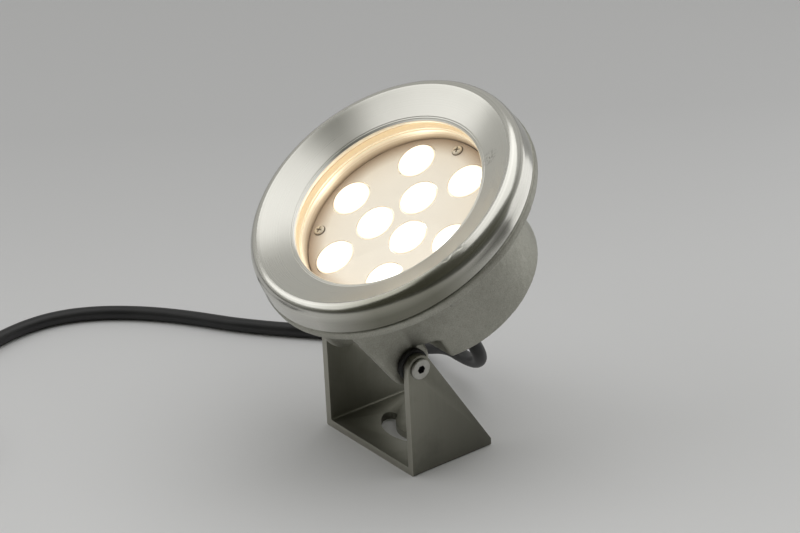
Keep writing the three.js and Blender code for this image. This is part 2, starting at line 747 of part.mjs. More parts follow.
outlet.add(mesh("gland_body", makeGlandBody(), SCREW_STEEL));
outlet.add(mesh("gland_nut", makeGlandNut(), SCREW_STEEL));
outlet.add(mesh("gland_seal", makeGlandSeal(), RUBBER));
outlet.add(mesh("strain_relief", makeStrainRelief(), RUBBER));
outlet.add(mesh("inner_lead", rod(CORD_RADIUS, RELIEF_END, POTTING_TOP), RUBBER));

pondLight.add(mesh("lead_outlet_bend", makeOutletStretch(), RUBBER));
pondLight.add(mesh("lead_floor_run", makeFloorRun(), RUBBER));
pondLight.add(mesh("lead_coil", makeCoil(), RUBBER));
pondLight.add(mesh("lead_tail", makeTail(), RUBBER));
pondLight.add(mesh("coil_tie", makeTie(), TIE_NYLON));
pondLight.add(mesh("core_wire_brown", makeCore(1), BROWN));
pondLight.add(mesh("core_wire_blue", makeCore(-1), BLUE));

export default pondLight;
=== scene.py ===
"""The looks of an underwater pond light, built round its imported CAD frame.

Lengths are in millimetres until a piece is made, and then in metres. Materials and lights are in
metres. +X runs along the tilt axis, and the lamp shines towards -Y and up."""

import json
import math

import bmesh
import bpy
from mathutils import Matrix, Vector, noise


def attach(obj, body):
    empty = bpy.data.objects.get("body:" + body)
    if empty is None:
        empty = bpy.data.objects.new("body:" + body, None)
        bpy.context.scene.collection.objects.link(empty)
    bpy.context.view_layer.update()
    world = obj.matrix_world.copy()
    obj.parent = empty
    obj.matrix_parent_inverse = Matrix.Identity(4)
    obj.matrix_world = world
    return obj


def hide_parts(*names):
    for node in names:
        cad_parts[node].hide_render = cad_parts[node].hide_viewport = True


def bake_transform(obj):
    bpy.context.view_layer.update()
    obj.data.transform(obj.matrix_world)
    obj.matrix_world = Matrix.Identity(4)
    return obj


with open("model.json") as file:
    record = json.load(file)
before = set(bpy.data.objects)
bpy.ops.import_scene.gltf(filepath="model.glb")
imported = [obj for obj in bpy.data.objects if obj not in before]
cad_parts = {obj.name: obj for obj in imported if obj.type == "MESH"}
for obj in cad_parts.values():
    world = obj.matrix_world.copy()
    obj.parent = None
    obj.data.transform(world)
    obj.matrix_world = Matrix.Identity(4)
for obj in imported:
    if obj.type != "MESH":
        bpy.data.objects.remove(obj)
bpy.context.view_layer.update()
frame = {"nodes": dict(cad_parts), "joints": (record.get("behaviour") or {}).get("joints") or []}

MM = 0.001
STAND, HEAD = "stand", "lamp_head"

# ---- sizes, in the main as in the CAD source

PIVOT = Vector(frame["joints"][0]["pos_m"]) / MM
LEAN = math.radians(30.6)  # of the lamp's axis from the vertical
AXIS_OFFSET = 49  # from the tilt axis to the lamp's own axis

SHEET = 4
BRACKET_WIDTH = 74
BASE_FRONT, BASE_REAR = -7, 43
EAR_REAR_HEIGHT = 4
EAR_TOP_RADIUS = 7
PIVOT_HOLE = 3.3
SLOT_CENTRE_Y, SLOT_RADIUS, SLOT_WIDTH, SLOT_HALF_ANGLE = 31, 20.7, 7.6, 53

REAR, STEP, FLANGE_BACK, HOUSING_TOP, SEAM = -8.8, 5.8, 46.1, 51.2, 51.5
CAN_RADIUS, CAN_FLAT, CAN_FRONT, NECK_RADIUS, FLANGE_RADIUS = 51.9, -32.6, 34, 58, 77.4
POCKET_RADIUS, PLATE_LEDGE = 52.4, 42.7
BORE_RADIUS, BORE_BACK, REAR_BORE_RADIUS = 47.4, 24.9, 44.5
REAR_WALL, FLAT_WALL, GLAND_HOLE = 5, 4, 6.2
GLASS_RADIUS, GLASS_BACK, GLASS_FRONT, GASKET_THICKNESS = 57.2, 52.7, 56.7, 0.9
LIP_BACK, WINDOW_RADIUS = 57.9, 52

# the bezel's dished face, its elliptical roll outside the ridge, and what is only in the look
RIM_TOP, RIDGE_RADIUS, BEZEL_RADIUS = 66.5, 69.7, 77
FACE_RADIUS, FACE_HEIGHT, FACE_HOLLOW = 53.4, 59.5, 1.0
SHOULDER_HEIGHT, SHOULDER_WIDTH, SHOULDER_RISE = 58.5, 6.3, 8.0
GROOVES, GROOVE_DEPTH = (54.2, 53.2), 0.16
NICKS, NICK_REACH = ((-11.2, 0.6), (-4, 0.45)), 1.9  # each nick's angle and depth

LUG_FACE, LUG_THICKNESS, LUG_RADIUS, LUG_DROP, LUG_TOP = 29.5, 7, 12, 16.6, 9
WASHER_RADIUS = 8.5
BOLT_RADIUS, BOLT_HEAD_RADIUS, BOLT_HEAD_HEIGHT, BOLT_TIP = 3, 5.5, 1.4, 21.5
GAP, PLAY = 0.3, 0.4  # between pieces that touch, and round the glass, gaskets and lenses
PLATE_RADIUS, PLATE_BACK, PLATE_FRONT = 52, 43, 44.5
PLATE_SCREW_RADIUS, PLATE_SCREW_TIP, CLAMP_TIP = 1.1, 38, 59.8
LENS_RADIUS, LENS_BACK, LENS_HOLLOW = 10.4, 33.6, 2
OUTER_RING, INNER_RING, SCREW_RING, CLAMP_RING = 38.4, 14.6, 46.8, 71
FIRST_LED, FIRST_CLAMP = 124, -19

CORD_RADIUS = 3.75
GLAND_OFFSET = -7
GLAND_BARREL, BARREL_END, BARREL_RADIUS = -13.1, -16, 7
NUT_HEX, NUT_END, RELIEF_END = 9, -26, -44.8
BEND_RADIUS, STRAIGHT = 30, 4
FLOOR_Z = 3.8
COIL_CENTRE = Vector((-161.75, -212, 0))
COIL_RADII = (41.25, 48.75)
COIL_LIFT = 1.5
COIL_EXIT = 280
TAIL_LENGTH, TAIL_FALL, CORE_LENGTH = 70, 14, 33
TIE_ANGLE = 220

AT_PIVOT = Matrix.Translation(PIVOT)
LAMP = AT_PIVOT @ Matrix.Rotation(LEAN, 4, "X") @ Matrix.Translation((0, AXIS_OFFSET, 0))
GLAND = LAMP @ Matrix.Translation((0, GLAND_OFFSET, 0))

# ---- camera

CAMERA_PLACE = Vector((1516.57, -1074.86, 1045.18))
CAMERA_AZIMUTH, CAMERA_ELEVATION, CAMERA_ROLL = 54.226, 26.894, -2.9
CAMERA_LENS = 187.0


def make_camera():
    data = bpy.data.cameras.new("camera")
    data.lens = CAMERA_LENS
    data.sensor_width = 36
    data.clip_end = 20
    camera = in_scene("camera", data)
    turn = rotation(CAMERA_AZIMUTH) @ rotation(90 - CAMERA_ELEVATION, "X") @ rotation(CAMERA_ROLL)
    camera.matrix_world = Matrix.Translation(CAMERA_PLACE * MM) @ turn
    bpy.context.scene.camera = camera


# ---- shapes


def polar(radius, degrees):
    angle = math.radians(degrees)
    return radius * math.cos(angle), radius * math.sin(angle)


def ring_of(radius, count, first, step):
    return [polar(radius, first + step * k) for k in range(count)]


LED_PLACES = ring_of(OUTER_RING, 6, FIRST_LED, -60) + ring_of(INNER_RING, 3, FIRST_LED - 30, -120)
SCREW_PLACES = ring_of(SCREW_RING, 3, FIRST_LED - 30, -120)
CLAMP_PLACES = ring_of(CLAMP_RING, 6, FIRST_CLAMP, 60)


def rotation(degrees, axis="Z"):
    return Matrix.Rotation(math.radians(degrees), 4, axis)


def arc(centre, radius, start, end, steps):
    """Points on an arc from one angle to another, in degrees."""
    angles = [start + (end - start) * k / steps for k in range(steps + 1)]
    return [(centre[0] + x, centre[1] + y) for x, y in (polar(radius, a) for a in angles)]


def rounded(points, steps=5):
    """An outline of (x, y) or (x, y, radius) points. A radius turns that corner into an arc."""
    outline = []
    for i, point in enumerate(points):
        corner = Vector(point[:2])
        if len(point) == 2:
            outline.append(tuple(corner))
            continue
        before = (Vector(points[i - 1][:2]) - corner).normalized()
        after = (Vector(points[(i + 1) % len(points)][:2]) - corner).normalized()
        half = before.angle(after) / 2
        centre = corner + (before + after).normalized() * (point[2] / math.sin(half))
        start = corner + before * (point[2] / math.tan(half)) - centre
        turn = start.angle_signed(corner + after * (point[2] / math.tan(half)) - centre)
        for k in range(steps + 1):
            spoke = start.copy()
            spoke.rotate(Matrix.Rotation(-turn * k / steps, 2))
            outline.append(tuple(centre + spoke))
    return outline


def lathe(profile, segments):
    """A solid turned about Z from a closed outline of (radius, z) points."""
    made = bmesh.new()
    spokes = [polar(1, 360 * k / segments) for k in range(segments)]
    rings = []
    for radius, z in profile:
        if radius < 1e-9:
            rings.append([made.verts.new((0, 0, z))])
        else:
            rings.append([made.verts.new((radius * x, radius * y, z)) for x, y in spokes])
    for low, high in zip(rings, rings[1:] + rings[:1]):
        if len(low) == len(high) == 1:
            continue
        for k in range(segments):
            j = (k + 1) % segments
            corners = [low[k % len(low)], low[j % len(low)]]
            corners += [high[j % len(high)], high[k % len(high)]]
            made.faces.new(list(dict.fromkeys(corners)))
    bmesh.ops.recalc_face_normals(made, faces=made.faces)
    return made


def rod(radius, z0, z1, segments=64):
    return lathe([(0, z0), (radius, z0), (radius, z1), (0, z1)], segments)


def prism(outline, z0, z1):
    """A flat outline of (x, y) points made solid from z0 to z1."""
    made = bmesh.new()
    low = [made.verts.new((x, y, z0)) for x, y in outline]
    high = [made.verts.new((x, y, z1)) for x, y in outline]
    made.faces.new(low[::-1])
    made.faces.new(high)
    for k in range(len(outline)):
        j = (k + 1) % len(outline)
        made.faces.new([low[k], low[j], high[j], high[k]])
    bmesh.ops.recalc_face_normals(made, faces=made.faces)
    return made


def block(x0, x1, y0, y1, z0, z1):
    return prism([(x0, y0), (x1, y0), (x1, y1), (x0, y1)], z0, z1)


def hexagon(across_flats, z0, z1):
    """A hexagonal prism with flats facing +X and -X."""
    return moved(rod(across_flats / math.sqrt(3), z0, z1, 6), rotation(30))


def moved(shape, matrix):
    shape.transform(matrix)
    if matrix.determinant() < 0:
        bmesh.ops.reverse_faces(shape, faces=shape.faces)
    return shape


def shifted(shape, x, y, z=0):
    return moved(shape, Matrix.Translation((x, y, z)))


# from (y, z, x) and from (x, z, -y) to (x, y, z)
ALONG_X = Matrix(((0, 0, 1, 0), (1, 0, 0, 0), (0, 1, 0, 0), (0, 0, 0, 1)))
ALONG_Y = Matrix(((1, 0, 0, 0), (0, 0, -1, 0), (0, 1, 0, 0), (0, 0, 0, 1)))


def sideways(side):
    """Turns what was made along +Z to lie along +X, or -X for side -1."""
    return rotation(90 * side, "Y")


def mesh_of(name, shape):
    """A mesh made from a shape, which is used up."""
    data = bpy.data.meshes.new(name)
    shape.to_mesh(data)
    shape.free()
    return data


def in_scene(name, data):
    """A new object with that data, in the scene."""
    made = bpy.data.objects.new(name, data)
    bpy.context.scene.collection.objects.link(made)
    return made


def joined(*shapes):
    """Several shapes in one mesh, as they are."""
    made = shapes[0]
    for other in shapes[1:]:
        data = mesh_of("joined", other)
        made.from_mesh(data)
        bpy.data.meshes.remove(data)
    return made


def modified(shape, *modifiers):
    """The shape after (type, settings) modifiers are applied."""
    work = in_scene("work", mesh_of("work", shape))
    for kind, settings in modifiers:
        modifier = work.modifiers.new(kind, kind)
        for key, value in settings.items():
            setattr(modifier, key, value)
    bpy.context.view_layer.update()
    evaluated = work.evaluated_get(bpy.context.evaluated_depsgraph_get())
    made = bmesh.new()
    made.from_mesh(evaluated.data)
    bpy.data.objects.remove(work)
    return made


def combined(operation, shape, *others):
    """The shape with others cut from it (DIFFERENCE), added (UNION) or shared (INTERSECT)."""
    for other in others:
        tool = in_scene("work", mesh_of("work", other))
        settings = {"operation": operation, "object": tool, "solver": "EXACT"}
        shape = modified(shape, ("BOOLEAN", settings))
        bpy.data.objects.remove(tool)
    return shape


def bevelled(shape, width, segments=2):
    settings = {"width": width, "segments": segments, "limit_method": "ANGLE"}
    settings.update(angle_limit=math.radians(35), use_clamp_overlap=True, harden_normals=False)
    return modified(shape, ("BEVEL", settings))


def second_material(shape, chosen=lambda face: True):
    """Gives the chosen faces, or all of them, the piece's second material."""
    for face in shape.faces:
        face.material_index = int(chosen(face))
    return shape


def in_metres(place):
    return Matrix.Translation(place.to_translation() * MM) @ place.to_3x3().to_4x4()


def shown(name, shape, materials, sharp):
    """A named object in metres from a shape in millimetres."""
    shape.transform(Matrix.Scale(MM, 4))
    data = mesh_of(name, shape)
    for look in materials:
        data.materials.append(look)
    data.shade_smooth()
    data.set_sharp_from_angle(angle=math.radians(sharp))
    return in_scene(name, data)


def piece(name, shape, materials, body, nodes, place=None, sharp=32):
    """Shows a shape in one or more materials, riding on a body in place of CAD nodes."""
    materials = materials if isinstance(materials, tuple) else (materials,)
    made = shown(name, shape, materials, sharp)
    if place is not None:
        made.matrix_world = in_metres(place)
    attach(made, body)
    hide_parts(*nodes)
    return made


# ---- materials


def material(name, **values):
    made = bpy.data.materials.new(name)
    made.use_nodes = True
    shader = made.node_tree.nodes["Principled BSDF"]
    for key, value in values.items():
        shader.inputs[key.replace("_", " ")].default_value = value
    return made, shader


def add(made, kind, inputs=None, **settings):
    """Adds a shader node. inputs gives its sockets a value or another node's output."""
    node = made.node_tree.nodes.new("ShaderNode" + kind)
    for key, value in settings.items():
        setattr(node, key, value)
    for key, value in (inputs or {}).items():
        if isinstance(value, bpy.types.NodeSocket):
            made.node_tree.links.new(value, node.inputs[key])
        else:
            node.inputs[key].default_value = value
    return node


def feed(made, socket, output):
    made.node_tree.links.new(output, socket)


def object_place(made):
    return add(made, "TexCoord").outputs["Object"]


def lamp_place(made):
    """Coordinates about the lamp's axis, for pieces made in place round it."""
    inputs = {"Vector": object_place(made), "Location": LAMP.to_translation() * MM}
    inputs["Rotation"] = (LEAN, 0, 0)
    return add(made, "Mapping", inputs, vector_type="TEXTURE").outputs[0]


def part_of(made, vector, axis):
    """The X, Y or Z of a vector."""
    return add(made, "SeparateXYZ", {0: vector}).outputs[axis]


def vector_maths(made, operation, first, second=(0, 0, 0)):
    """Both outputs of a sum with vectors: its Vector and its Value."""
    return add(made, "VectorMath", {0: first, 1: second}, operation=operation).outputs


def off_axis(made, place):
    """A place with its height taken away, and its distance from the axis."""
    flat = vector_maths(made, "MULTIPLY", place, (1, 1, 0))["Vector"]
    return flat, vector_maths(made, "LENGTH", flat)["Value"]


def stretched(made, vector, scale):
    return add(made, "Mapping", {"Vector": vector, "Scale": scale}).outputs[0]


def cloud(made, vector, scale, detail=3, rough=0.55):
    inputs = {"Vector": vector, "Scale": scale, "Detail": detail, "Roughness": rough}
    return add(made, "TexNoise", inputs).outputs["Fac"]


def fine_rings(made, along, scale, detail):
    """Noise along one measure, which draws rings about the lamp's axis."""
    inputs = {"W": along, "Scale": scale, "Detail": detail}
    return add(made, "TexNoise", inputs, noise_dimensions="1D").outputs["Fac"]


def levels(made, value, low, high, start=0.0, end=1.0):
    """Low where a value is start or less, high where it is end or more, and even between."""
    inputs = {"Value": value, "From Min": start, "From Max": end, "To Min": low, "To Max": high}
    return add(made, "MapRange", inputs).outputs[0]


def rise(made, value, start, end):
    return levels(made, value, 0.0, 1.0, start, end)


def blended(made, share, first, second, mode="MIX"):
    """A colour between two, or the second laid over the first by a blend mode."""
    node = add(made, "Mix", data_type="RGBA", blend_type=mode)
    for index, value in ((0, share), (6, first), (7, second)):
        if isinstance(value, bpy.types.NodeSocket):
            feed(made, node.inputs[index], value)
        else:
            node.inputs[index].default_value = value if isinstance(value, float) else (*value, 1)
    return node.outputs[2]


def bump(made, height, strength, distance, normal=None):
    inputs = {"Height": height, "Strength": strength, "Distance": distance}
    if normal is not None:
        inputs["Normal"] = normal
    return add(made, "Bump", inputs).outputs[0]


def maths(made, operation, first, second=0.0):
    return add(made, "Math", {0: first, 1: second}, operation=operation).outputs[0]


def wired(made, shader, **outputs):
    """The material, with outputs fed to the shader's inputs of those names."""
    for name, output in outputs.items():
        feed(made, shader.inputs[name.replace("_", " ")], output)
    return made


def turned_steel(name, light, dark, roughness, anisotropy):
    """Steel turned about the lamp's axis: fine rings, and highlights spread across them.

    It has a scuff on its face, and outside its ridge a smoother wall with a painted dark
    reflection, darker still towards the seam."""
    made, shader = material(name, Metallic=1.0, Anisotropic=anisotropy)
    place = lamp_place(made)
    flat, radius = off_axis(made, place)
    height = part_of(made, place, "Z")
    rings = fine_rings(made, maths(made, "ADD", radius, height), 2600.0, 4.0)
    smear = cloud(made, stretched(made, place, (1, 1, 0.3)), 28, 4)
    colour = blended(made, rise(made, rings, 0.3, 0.7), dark, light)
    colour = blended(made, levels(made, smear, 0.0, 0.35, 0.45, 0.75), colour, dark)

    near = vector_maths(made, "DISTANCE", flat, SCUFF)["Value"]
    specks = rise(made, cloud(made, place, 700), 0.5, 0.6)
    scuff = maths(made, "MULTIPLY", levels(made, near, 0.7, 0.0, 0.001, 0.006), specks)
    colour = blended(made, scuff, colour, (0.26, 0.25, 0.22))

    # painted shade: a dark reflection painted on the wall outside the ridge, darker still towards
    # the seam
    near = vector_maths(made, "DISTANCE", flat, PAINTED_SHADE_PATCH)["Value"]
    ridge = RIDGE_RADIUS * MM
    wall = rise(made, radius, ridge - 0.0002, ridge + 0.0008)
    painted_shade = maths(made, "MULTIPLY", levels(made, near, 1.0, 0.0, 0.015, 0.05), wall)
    colour = blended(made, painted_shade, colour, (0.36, 0.355, 0.30))
    low = levels(made, height, 0.85, 0.0, 0.057, 0.063)
    colour = blended(made, maths(made, "MULTIPLY", painted_shade, low), colour, (0.17, 0.168, 0.135))

    uneven = maths(made, "ADD", levels(made, rings, -0.05, 0.05), levels(made, smear, -0.05, 0.07))
    smoother = levels(made, radius, 0.0, -0.09, ridge - 0.0007, ridge + 0.0013)
    uneven = maths(made, "ADD", maths(made, "ADD", uneven, smoother), roughness)

    inputs = {"Vector": flat, "Rotation": (LEAN, 0, 0)}
    turned = add(made, "Mapping", inputs, vector_type="VECTOR").outputs[0]
    settings = {"vector_type": "VECTOR", "convert_from": "OBJECT", "convert_to": "WORLD"}
    outwards = add(made, "VectorTransform", {0: turned}, **settings).outputs[0]
    grooves = bump(made, rings, 0.08, 0.00005)
    return wired(
        made, shader, Base_Color=colour, Roughness=uneven, Normal=grooves, Tangent=outwards
    )


def brushed_plate():
    """Dull sheet steel, brushed up and down, with darker stains, painted shade, and cut edges made
    paler by a painted highlight.
    """
    made, shader = material("bracket_plate", Metallic=1.0)
    place = object_place(made)
    strokes = cloud(made, stretched(made, place, (1, 1, 0.035)), 1500, 4)
    bands = cloud(made, stretched(made, place, (1, 1, 0.12)), 130, 3)
    stains = cloud(made, place, 45, 5, 0.6)
    stroke = rise(made, strokes, 0.3, 0.7)
    colour = blended(made, stroke, (0.30, 0.296, 0.25), (0.33, 0.325, 0.277))
    band = levels(made, bands, 0.0, 0.3, 0.4, 0.75)
    colour = blended(made, band, colour, (0.35, 0.345, 0.295))
    stain = levels(made, stains, 0.0, 0.45, 0.5, 0.75)
    colour = blended(made, stain, colour, (0.16, 0.16, 0.135))
    # painted shade: darker towards the floor
    low = levels(made, part_of(made, place, "Z"), 0.3, 0.0, 0.004, 0.05)
    colour = blended(made, low, colour, (0.12, 0.12, 0.10))

    # painted shade on the near ear's outside, darker towards the rear
    side = BRACKET_WIDTH / 2 * MM
    outside = rise(made, part_of(made, place, "X"), side - 0.0005, side - 0.0002)
    rearwards = levels(made, part_of(made, place, "Y"), 0.1, 0.65, -0.005, 0.035)
    darker = maths(made, "MULTIPLY", outside, rearwards)
    colour = blended(made, darker, colour, (0.10, 0.10, 0.082))

    # painted highlight: faces that face along Y, mostly the cut edges, are paler
    facing = add(made, "TexCoord").outputs["Normal"]
    sheet = vector_maths(made, "MULTIPLY", facing, (1, 0, 1))["Vector"]
    sheet = vector_maths(made, "LENGTH", sheet)["Value"]
    colour = blended(made, levels(made, sheet, 1.0, 0.0, 0.3, 0.6), colour, (0.42, 0.41, 0.36))
    uneven = levels(made, stains, -0.04, 0.10)
    uneven = maths(made, "ADD", levels(made, strokes, 0.36, 0.46), uneven)
    scratched = bump(made, strokes, 0.25, 0.00004)
    return wired(made, shader, Base_Color=colour, Roughness=uneven, Normal=scratched)


def cast_steel():
    """A blasted casting: a fine grain with shallow pits."""
    made, shader = material("housing_cast", Metallic=0.9)
    place = object_place(made)
    grain = cloud(made, place, 1500, 3, 0.7)
    mottle = cloud(made, place, 220, 4, 0.6)
    stains = cloud(made, place, 30, 4)
    speck = rise(made, grain, 0.25, 0.75)
    colour = blended(made, speck, (0.34, 0.335, 0.29), (0.55, 0.545, 0.49))
    patch = levels(made, mottle, 0.0, 0.3, 0.4, 0.7)
    colour = blended(made, patch, colour, (0.36, 0.355, 0.31))
    stain = levels(made, stains, 0.0, 0.35, 0.45, 0.75)
    colour = blended(made, stain, colour, (0.26, 0.256, 0.215))
    uneven = levels(made, mottle, 0.48, 0.62)
    pitted = bump(made, grain, 0.5, 0.00015, bump(made, mottle, 0.35, 0.0003))
    return wired(made, shader, Base_Color=colour, Roughness=uneven, Normal=pitted)


def plain_metal(name, light, dark, roughness, grain=1800.0):
    """Satin machined metal with fine scratches."""
    made, shader = material(name, Metallic=1.0)
    place = object_place(made)
    fine = cloud(made, place, grain, 3)
    marks = cloud(made, place, 260, 4, 0.65)
    colour = blended(made, rise(made, marks, 0.35, 0.7), light, dark)
    uneven = maths(made, "ADD", levels(made, fine, -0.04, 0.05), levels(made, marks, -0.05, 0.08))
    uneven = maths(made, "ADD", uneven, roughness)
    scratched = bump(made, fine, 0.12, 0.00006)
    return wired(made, shader, Base_Color=colour, Roughness=uneven, Normal=scratched)


def soft_black(name, colour, dust, roughness, grain):
    """Rubber or nylon: nearly black, with a dusty bloom and a fine skin."""
    made, shader = material(name)
    place = object_place(made)
    skin = cloud(made, place, grain, 3)
    bloom = cloud(made, place, 55, 4, 0.6)
    colour = blended(made, levels(made, bloom, 0.0, 0.8, 0.4, 0.8), colour, dust)
    uneven = levels(made, bloom, roughness - 0.06, roughness + 0.1)
    skin = bump(made, skin, 0.25, 0.00005)
    return wired(made, shader, Base_Color=colour, Roughness=uneven, Normal=skin)


def moulded(name, light, dark, roughness, edge=None):
    """A plastic, paint or cast resin with slight unevenness.

    edge is the colour of a painted shade that darkens a plate towards its rim, close to the lit
    wall round it."""
    made, shader = material(name)
    place = object_place(made)
    uneven = cloud(made, place, 120, 4)
    skin = cloud(made, place, 900, 2)
    colour = blended(made, uneven, light, dark)
    if edge:
        # painted shade: darker towards the rim
        share = levels(made, off_axis(made, place)[1], 0.0, 0.85, 0.042, 0.052)
        colour = blended(made, share, colour, edge)
    uneven = levels(made, uneven, roughness - 0.05, roughness + 0.08)
    skin = bump(made, skin, 0.1, 0.00004)
    return wired(made, shader, Base_Color=colour, Roughness=uneven, Normal=skin)


def lit_lens():
    """A lit collimator: brightest in the middle and warmer towards its edge."""
    made, shader = material("lens_lit", Roughness=0.12, IOR=1.49)
    place = object_place(made)
    share = rise(made, off_axis(made, place)[1], 0.0072, LENS_RADIUS * MM)
    colour = blended(made, share, (1.0, 0.97, 0.9), (0.87, 0.80, 0.70))
    glow = blended(made, share, (1.0, 0.95, 0.86), (1.0, 0.84, 0.66))
    strength = levels(made, share, LENS_GLOW, 0.2)
    wired(made, shader, Base_Color=colour, Emission_Color=glow, Emission_Strength=strength)
    facets = add(made, "TexVoronoi", {"Vector": place, "Scale": 700.0})
    facets = bump(made, facets.outputs["Distance"], 0.15, 0.0002)
    return wired(made, shader, Normal=facets)


def lit_ring(name, light, dark, roughness, glow):
    """A pale ring beside the LEDs, with a painted warm glow for the LEDs' light on it that fades
    towards the plate, where painted shade browns it.
    """
    made, shader = material(name, Metallic=0.35)
    height = part_of(made, lamp_place(made), "Z")
    rings = fine_rings(made, height, 1500.0, 3.0)
    share = rise(made, height, 0.0435, 0.0505)
    colour = blended(made, rise(made, rings, 0.35, 0.65), dark, light)
    # painted shade: brown towards the plate
    colour = blended(made, share, (0.52, 0.39, 0.25), colour)
    # painted light: a warm glow for the LEDs' light falling on the ring
    warm = blended(made, 1.0, colour, (1.0, 0.86, 0.68), "MULTIPLY")
    wired(made, shader, Emission_Color=warm, Emission_Strength=levels(made, share, 0.0, glow))
    uneven = levels(made, rings, roughness - 0.05, roughness + 0.05)
    return wired(made, shader, Base_Color=colour, Roughness=uneven)


def lit_chip():
    made, shader = material("led_lit", Roughness=0.4, Emission_Strength=4.0)
    spots = cloud(made, object_place(made), 1400, 2)
    glow = blended(made, spots, (1.0, 0.80, 0.46), (1.0, 0.88, 0.62))
    return wired(made, shader, Base_Color=glow, Emission_Color=glow)


def window_glass():
    """Clear glass that mirrors at its faces and lets lamps through."""
    made, shader = material("window_clear")
    tree = made.node_tree
    tree.nodes.remove(shader)
    smears = cloud(made, object_place(made), 60, 5, 0.6)
    gloss = levels(made, smears, 0.02, 0.08, 0.4, 0.7)
    clear = add(made, "BsdfTransparent", {"Color": (0.985, 0.99, 0.985, 1)}).outputs[0]
    mirror = add(made, "BsdfGlossy", {"Roughness": gloss}).outputs[0]
    facing = add(made, "LayerWeight", {"Blend": 0.5}).outputs["Facing"]
    share = levels(made, maths(made, "POWER", facing, 5.0), 0.035, 1.0)
    mixed = add(made, "MixShader", {0: share, 1: clear, 2: mirror}).outputs[0]
    feed(made, tree.nodes["Material Output"].inputs["Surface"], mixed)
    return made


def paper():
    """A pale sheet, dimmed far behind the object by painted shade, that ends on a dark table in
    front of it.
    """
    made, shader = material("studio_paper", Roughness=0.9)
    place = object_place(made)
    away = vector_maths(made, "DOT_PRODUCT", place, AWAY)["Value"]
    wash = levels(made, cloud(made, place, 1.6, 3), 0.0, 0.12)
    # painted shade: darker far behind the object, away from the camera
    sheet = blended(made, rise(made, away, -0.1, 0.4), (0.81, 0.81, 0.82), (0.60, 0.60, 0.61))
    sheet = blended(made, wash, sheet, (0.5, 0.5, 0.5))
    right = rise(made, part_of(made, place, "X"), *PAPER_RIGHT)
    front = levels(made, part_of(made, place, "Y"), 1.0, 0.0, *PAPER_FRONT)
    colour = blended(made, maths(made, "MAXIMUM", right, front), sheet, (0.11, 0.11, 0.10))
    fibres = bump(made, cloud(made, place, 420, 4, 0.6), 0.1, 0.0003)
    return wired(made, shader, Base_Color=colour, Normal=fibres)


SCUFF = (0.0362, 0.0447, 0)  # metres from the lamp's axis
# the middle of the painted shade on the bezel's outer wall, in metres from the lamp's axis
PAINTED_SHADE_PATCH = (0.062, -0.043, 0)
LENS_GLOW = 3.0
AWAY = (-0.811, 0.585, 0)  # level, and away from the camera
PAPER_RIGHT, PAPER_FRONT = (0.42, 0.44), (-0.52, -0.50)  # the paper's edges in x and y, in metres

BEZEL_STEEL = turned_steel("bezel_turned", (0.70, 0.69, 0.645), (0.62, 0.61, 0.565), 0.29, 0.4)
# the seat glows with painted light and browns towards the plate by painted shade
SEAT_STEEL = lit_ring("seat_lit", (0.95, 0.91, 0.80), (0.84, 0.76, 0.62), 0.38, 0.3)
PLATE_STEEL = brushed_plate()
CAST_STEEL = cast_steel()
SCREW_STEEL = plain_metal("fastener_steel", (0.74, 0.73, 0.70), (0.58, 0.57, 0.54), 0.3)
BOLT_STEEL = plain_metal("bolt_steel", (0.52, 0.515, 0.48), (0.40, 0.395, 0.36), 0.42)
SHADE = moulded("recess_shade", (0.17, 0.13, 0.09), (0.12, 0.09, 0.06), 0.6)
DULL_STEEL = plain_metal("screw_dull", (0.42, 0.415, 0.37), (0.32, 0.315, 0.28), 0.55)
NICKEL = plain_metal("screw_nickel", (0.86, 0.80, 0.70), (0.74, 0.68, 0.58), 0.5)
SPREADER = plain_metal("spreader_aluminium", (0.75, 0.76, 0.77), (0.66, 0.67, 0.68), 0.36)
COPPER = plain_metal("core_copper", (0.80, 0.42, 0.25), (0.66, 0.32, 0.18), 0.3, 3000.0)
# black rubber, also painted as shade into the pivot bolts' sockets
RUBBER_AND_SHADE = soft_black("rubber_and_socket_shade", (0.012, 0.012, 0.013), (0.035, 0.034, 0.032), 0.62, 900)
SHEATH = soft_black("lead_rubber", (0.010, 0.010, 0.011), (0.022, 0.022, 0.022), 0.42, 1300)
NYLON = soft_black("tie_nylon", (0.014, 0.014, 0.015), (0.03, 0.03, 0.03), 0.38, 600)
# the gaskets glow with painted light
SILICONE = lit_ring("gasket_silicone", (0.93, 0.88, 0.78), (0.80, 0.71, 0.57), 0.5, 0.42)
# the plate is darker towards its rim by painted shade
WHITE = moulded("plate_white", (0.87, 0.82, 0.75), (0.83, 0.78, 0.71), 0.42, (0.38, 0.25, 0.15))
BOARD = moulded("board_white", (0.82, 0.82, 0.80), (0.76, 0.76, 0.74), 0.4)
GREEN = moulded("driver_green", (0.03, 0.13, 0.07), (0.02, 0.09, 0.05), 0.35)
RESIN = moulded("potting_resin", (0.03, 0.032, 0.035), (0.02, 0.021, 0.023), 0.3)
BROWN = moulded("core_brown", (0.16, 0.065, 0.03), (0.13, 0.05, 0.025), 0.38)
BLUE = moulded("core_blue", (0.03, 0.09, 0.34), (0.025, 0.07, 0.28), 0.38)
LENS = lit_lens()
CHIP = lit_chip()
GLASS = window_glass()

# ---- lead


